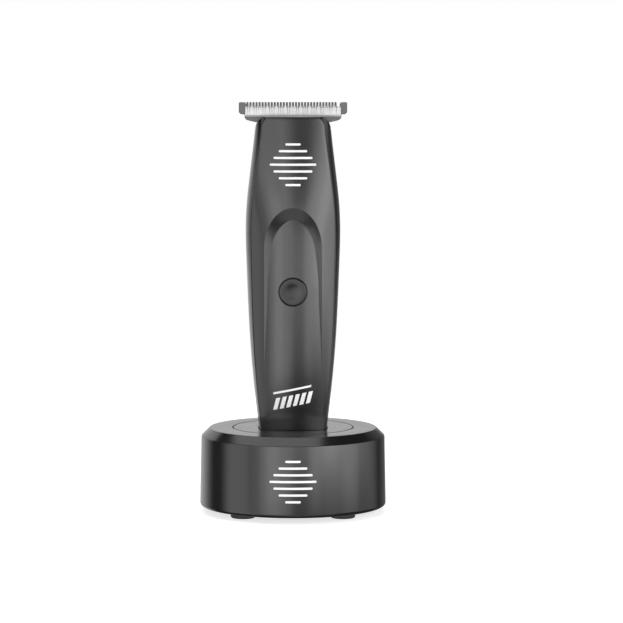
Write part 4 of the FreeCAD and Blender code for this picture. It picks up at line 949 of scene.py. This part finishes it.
def make_inlet():
    """The power inlet: a block inside the wall, a round nose through it and the plug's bore."""
    obj = mesh_object("inlet_socket", [box_solid(*INLET_BODY)])
    mouth = INLET_MOUTH_Y
    corners = [(0, 30), (INLET_NOSE_RADIUS, 30), (INLET_NOSE_RADIUS, mouth), (0, mouth)]
    nose = rounded_path(corners, [0, 0, 0.35, 0])
    carve(obj, [turned(nose, (0, 0, INLET_Z), "y", 72)], "UNION")
    wide = INLET_BORE_RADIUS + INLET_CHAMFER
    bore = [(0, mouth - INLET_BORE_DEPTH), (INLET_BORE_RADIUS, mouth - INLET_BORE_DEPTH),
            (INLET_BORE_RADIUS, mouth - 0.3), (wide, mouth + 0.1),
            (wide, mouth + 1), (0, mouth + 1)]
    carve(obj, [turned(bore, (0, 0, INLET_Z), "y", 72)])
    dress(obj, "base", "inner_plastic", ["power_inlet"])


def make_contact_springs():
    """The coil springs under the contact pins, each coiled to the height of its CAD node."""
    for side, x in (("left", -CONTACT_X), ("right", CONTACT_X)):
        low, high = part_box("contact_spring_" + side)
        bottom = low[2] / MM + SPRING_WIRE_RADIUS
        length = high[2] / MM - SPRING_WIRE_RADIUS - bottom
        steps = 24 * SPRING_TURNS
        turns = [2 * math.pi * k / 10 for k in range(10)]
        rings = []
        for i in range(steps + 1):
            angle = 2 * math.pi * SPRING_TURNS * i / steps
            outward = Vector((math.cos(angle), math.sin(angle), 0))
            climb = length / (2 * math.pi * SPRING_RADIUS * SPRING_TURNS)
            across = Vector((-math.sin(angle), math.cos(angle), climb)).normalized().cross(outward)
            centre = Vector((x, 0, bottom + length * i / steps)) + outward * SPRING_RADIUS
            ring = []
            for t in turns:
                spoke = outward * math.cos(t) + across * math.sin(t)
                ring.append(tuple(centre + spoke * SPRING_WIRE_RADIUS))
            rings.append(ring)
        obj = mesh_object("coil_" + side, [ring_solid(rings, closed_path=False)])
        dress(obj, "base", "spring_steel", ["contact_spring_" + side])
        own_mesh(obj)


# ---- building the printed marks ----
def base_side_y(x, z):
    """The front of the base's tapered side wall."""
    share = (z - BASE_UNDERSIDE_Z) / (BASE_SHOULDER_Z - BASE_UNDERSIDE_Z)
    radius = BASE_RIM_RADIUS + (BASE_SHOULDER_RADIUS - BASE_RIM_RADIUS) * share
    return -math.sqrt(radius ** 2 - x ** 2)


def printed(outline, surface_y):
    """A thin layer of print that follows a surface inside an outline of (x, z) points."""
    loop = []
    for i, point in enumerate(outline):
        here = Vector(point)
        ahead = Vector(outline[(i + 1) % len(outline)])
        steps = max(1, int((ahead - here).length / 0.5))
        loop += [tuple(here.lerp(ahead, k / steps)) for k in range(steps)]

    def keep(x, z):
        inside = False
        for (x0, z0), (x1, z1) in zip(outline, outline[1:] + outline[:1]):
            if (z0 > z) != (z1 > z) and x < x0 + (x1 - x0) * (z - z0) / (z1 - z0):
                inside = not inside
        return inside

    return lifted([loop], [], [], keep, lambda x, z: surface_y(x, z) + MARK_THICKNESS / 2,
                  lambda x, z: surface_y(x, z) - MARK_THICKNESS / 2, lambda x, z, y: (x, y, z))


def bar_mark(centre_z):
    """Outlines of seven level bars whose lengths grow and shrink."""
    outlines = []
    for i, length in enumerate(MARK_LENGTHS):
        middle = centre_z + ((len(MARK_LENGTHS) - 1) / 2 - i) * MARK_PITCH
        z0 = middle - MARK_BAR / 2
        z1 = middle + MARK_BAR / 2
        corners = [(-length / 2, z0), (length / 2, z0), (length / 2, z1), (-length / 2, z1)]
        outlines.append(rounded_path(corners, [MARK_BAR * 0.45] * 4, 5))
    return outlines


def stripe(x0, x1, z0, z1):
    """The outline of a bar that leans to the right and rises with its row."""
    corners = []
    for x, z in ((x0, z0), (x1, z0), (x1, z1), (x0, z1)):
        corners.append((x + STRIPE_LEAN * (z - z0), z + STRIPE_RISE * x))
    return corners


def make_marks():
    """Plain printed bars and stripes on the head, the grip and the base."""
    head = mesh_object("print_head", [printed(o, face_y) for o in bar_mark(HEAD_MARK_Z)])
    dress(head, "handset", "pale_plastic", material=PRINT_WHITE)
    left, right, low, high = STRIPE
    rows = [stripe(*RULE)]
    for i in range(STRIPE_COUNT):
        rows.append(stripe(left + STRIPE_PITCH * i, right + STRIPE_PITCH * i, low, high))
    grip = mesh_object("print_grip", [printed(o, face_y) for o in rows])
    dress(grip, "handset", "pale_plastic", material=PRINT_WHITE)
    base = mesh_object("print_base", [printed(o, base_side_y) for o in bar_mark(BASE_MARK_Z)])
    dress(base, "base", "pale_plastic", material=PRINT_WHITE)


# ---- building the blades ----
def tooth(x, width, root_z, tip_z, front_y, back_y, tip_front, tip_back, tip_width, chamfer):
    """One tooth: straight at its root, narrowing to a rounded tip."""
    rings = []
    length = tip_z - root_z
    for share, round_off in TOOTH_RINGS:
        taper = max(0.0, (share - TOOTH_STRAIGHT) / (1 - TOOTH_STRAIGHT))
        half = (width * (1 - taper) + tip_width * taper) / 2 * (1 - 0.4 * round_off)
        y0 = front_y + (tip_front - front_y) * taper
        y1 = back_y + (tip_back - back_y) * taper
        middle = (y0 + y1) / 2
        deep = (y1 - y0) / 2 * (1 - 0.5 * round_off)
        z = root_z + length * share
        cut = min(chamfer, half * 0.5, deep * 0.5)
        ring = [(-half + cut, -deep), (half - cut, -deep), (half, -deep + cut), (half, deep - cut),
                (half - cut, deep), (-half + cut, deep), (-half, deep - cut), (-half, -deep + cut)]
        rings.append([(x + a, middle + b, z) for a, b in ring])
    return ring_solid(rings, closed_path=False)


def slab(outline, front_y, back_y, edge=0.12):
    """A plate in the xz plane with chamfered edges."""
    loop = [Vector(p) for p in outline]
    area = sum(loop[i - 1].x * loop[i].y - loop[i].x * loop[i - 1].y for i in range(len(loop)))
    sign = 1 if area > 0 else -1
    inset = []
    for i, here in enumerate(loop):
        one = (here - loop[i - 1]).normalized()
        two = (loop[(i + 1) % len(loop)] - here).normalized()
        normal = (Vector((-one.y - two.y, one.x + two.x)) * sign).normalized()
        reach = edge / max(0.35, normal.dot(Vector((-one.y, one.x)) * sign))
        inset.append(here + normal * reach)
    rings = [[(p.x, front_y, p.y) for p in inset], [(p.x, front_y + edge, p.y) for p in loop],
             [(p.x, back_y - edge, p.y) for p in loop], [(p.x, back_y, p.y) for p in inset]]
    return ring_solid(rings, closed_path=False)


def mirrored(right):
    """A whole outline from its right half."""
    return right + [(-x, z) for x, z in reversed(right)]


def make_comb_blade():
    """The fixed blade: tang, wings, end blocks and the comb of teeth."""
    body = rounded_path(mirrored(COMB_OUTLINE), COMB_RADII + COMB_RADII[::-1], 7)
    parts = [slab(body, BLADE_FRONT_Y, BLADE_BACK_Y)]
    for side in (-1, 1):
        outline = rounded_path([(side * x, z) for x, z in END_BLOCK_OUTLINE], END_BLOCK_RADII, 7)
        parts.append(slab(outline, BLADE_FRONT_Y - 0.02, BLADE_BACK_Y + 0.02, 0.18))
    for i in range(COMB_TEETH):
        x = (i - (COMB_TEETH - 1) / 2) * COMB_PITCH
        parts.append(tooth(x, COMB_PITCH - COMB_SLOT, COMB_ROOT_Z - 0.2, BLADE_TIP_Z, BLADE_FRONT_Y,
                           BLADE_BACK_Y, BLADE_FRONT_Y + 0.05, 3.3, 0.86, 0.1))
    obj = mesh_object("comb_blade", parts)
    places = [(side * BLADE_SCREW_X, 0, BLADE_SCREW_Z) for side in (-1, 1)]
    carve(obj, [rod(SCREW_HOLE_RADIUS, 0, 10, place, "y") for place in places])
    dress(obj, "handset", "blade_black", ["fixed_blade"])


def make_cutter_blade():
    """The moving cutter: stem, shoulder, bar and its fine teeth."""
    body = rounded_path(mirrored(CUTTER_OUTLINE), CUTTER_RADII + CUTTER_RADII[::-1], 6)
    parts = [slab(body, CUTTER_FRONT_Y, CUTTER_BACK_Y, 0.08)]
    for i in range(CUTTER_TEETH):
        x = (i - (CUTTER_TEETH - 1) / 2) * CUTTER_PITCH
        parts.append(tooth(x, CUTTER_PITCH - 0.04, CUTTER_ROOT_Z - 0.2, CUTTER_TIP_Z,
                           CUTTER_FRONT_Y, CUTTER_BACK_Y, 1.05, CUTTER_BACK_Y,
                           CUTTER_PITCH - CUTTER_SLOT, 0.04))
    obj = mesh_object("cutter_blade", parts)
    dress(obj, "cutter", "cutter_steel", ["moving_cutter"])


# ---- building the stage ----
def aim(obj, target):
    """Turns a light or the camera to look at a point."""
    direction = Vector(target) - obj.location
    obj.rotation_euler = direction.to_track_quat("-Z", "Y").to_euler()


def area_light(name, width, height, radiance, place):
    """A rectangular light of even brightness that the camera doesn't see."""
    light = bpy.data.lights.new(name, "AREA")
    light.shape = "RECTANGLE"
    light.size = width
    light.size_y = height
    light.energy = radiance * math.pi * width * height
    obj = bpy.data.objects.new(name, light)
    obj.location = place
    obj.visible_camera = False
    bpy.context.scene.collection.objects.link(obj)
    return obj


def upright_light(name, start, end, low_z, high_z, radiance):
    """A tall light that spans two bearings, in degrees from the camera's side, on a wide circle."""
    turn = math.radians((start + end) / 2)
    width = 2 * SOFTBOX_DISTANCE * math.tan(math.radians((end - start) / 2))
    middle_z = (low_z + high_z) / 2
    place = (SOFTBOX_DISTANCE * math.sin(turn), -SOFTBOX_DISTANCE * math.cos(turn), middle_z)
    aim(area_light(name, width, high_z - low_z, radiance, place), (0, 0, middle_z))


def make_lights():
    """The softboxes, each in nested layers so that its sides fade, and one light overhead."""
    for name, start, full, full_end, end, radiance, layers in SOFTBOXES:
        for i, (low_z, high_z) in enumerate(layers):
            share = (i + 0.5) / len(layers)
            upright_light(f"{name}_{i}", start + (full - start) * share,
                          end - (end - full_end) * share, low_z, high_z, radiance / len(layers))
    area_light("overhead", OVERHEAD_SIZE, OVERHEAD_SIZE, OVERHEAD_RADIANCE, OVERHEAD_PLACE)


def make_world():
    """A white backdrop to the camera's eye that hardly lights the object."""
    world = bpy.data.worlds.new("studio")
    bpy.context.scene.world = world
    world.use_nodes = True
    nodes = world.node_tree.nodes
    links = world.node_tree.links
    seen = nodes.new("ShaderNodeLightPath")
    strength = nodes.new("ShaderNodeMapRange")
    strength.inputs["To Min"].default_value = ROOM_GLOW
    strength.inputs["To Max"].default_value = BACKDROP_GLOW
    links.new(seen.outputs["Is Camera Ray"], strength.inputs["Value"])
    nodes["Background"].inputs["Color"].default_value = (1, 1, 1, 1)
    links.new(strength.outputs["Result"], nodes["Background"].inputs["Strength"])


def make_floor():
    """A plain pale floor, which the object neither mirrors nor loses light to."""
    half = 380.0
    corners = [(-half, -half), (half, -half), (half, half), (-half, half)]
    outline = rounded_path(corners, [60] * 4, 8)
    rings = [[(x, y, z) for x, y in outline] for z in (-2.0, 0.0)]
    floor = mesh_object("floor", [ring_solid(rings, closed_path=False)])
    material, nodes, links = node_material("floor_paint")
    shader = nodes["Principled BSDF"]
    shade = ranged(nodes, links, noise(nodes, links, 12, 3.0), 0.0, 1.0)
    links.new(tinted(nodes, links, shade, (0.86, 0.86, 0.86), (0.88, 0.88, 0.88)),
              shader.inputs["Base Color"])
    shader.inputs["Roughness"].default_value = 0.8
    shader.inputs["Specular IOR Level"].default_value = 0.1
    shader.inputs["Emission Color"].default_value = (1, 1, 1, 1)
    shader.inputs["Emission Strength"].default_value = FLOOR_EMISSION
    floor.data.materials.append(material)
    floor.visible_glossy = False
    floor.visible_shadow = False


def make_camera():
    """The camera, a little above the object's middle and looking slightly down."""
    camera = bpy.data.cameras.new("camera")
    camera.lens = CAMERA_LENS_MM
    camera.sensor_width = CAMERA_SENSOR_MM
    camera.shift_x = CAMERA_SHIFT_X
    obj = bpy.data.objects.new("camera", camera)
    pitch = math.radians(CAMERA_PITCH_DEGREES)
    obj.location = (0, -CAMERA_DISTANCE * math.cos(pitch),
                    CAMERA_AIM_Z + CAMERA_DISTANCE * math.sin(pitch))
    bpy.context.scene.collection.objects.link(obj)
    aim(obj, (0, 0, CAMERA_AIM_Z))
    bpy.context.scene.camera = obj


def main():
    """Builds everything that is seen."""
    dress_cad_nodes()
    make_front_shell()
    make_rear_shell()
    make_button()
    make_base_shell()
    make_cradle()
    make_bottom_cover()
    make_feet()
    make_inlet()
    make_contact_springs()
    make_comb_blade()
    make_cutter_blade()
    make_marks()
    make_floor()
    make_world()
    make_lights()
    make_camera()
    bpy.context.scene.view_settings.view_transform = "Standard"


main()
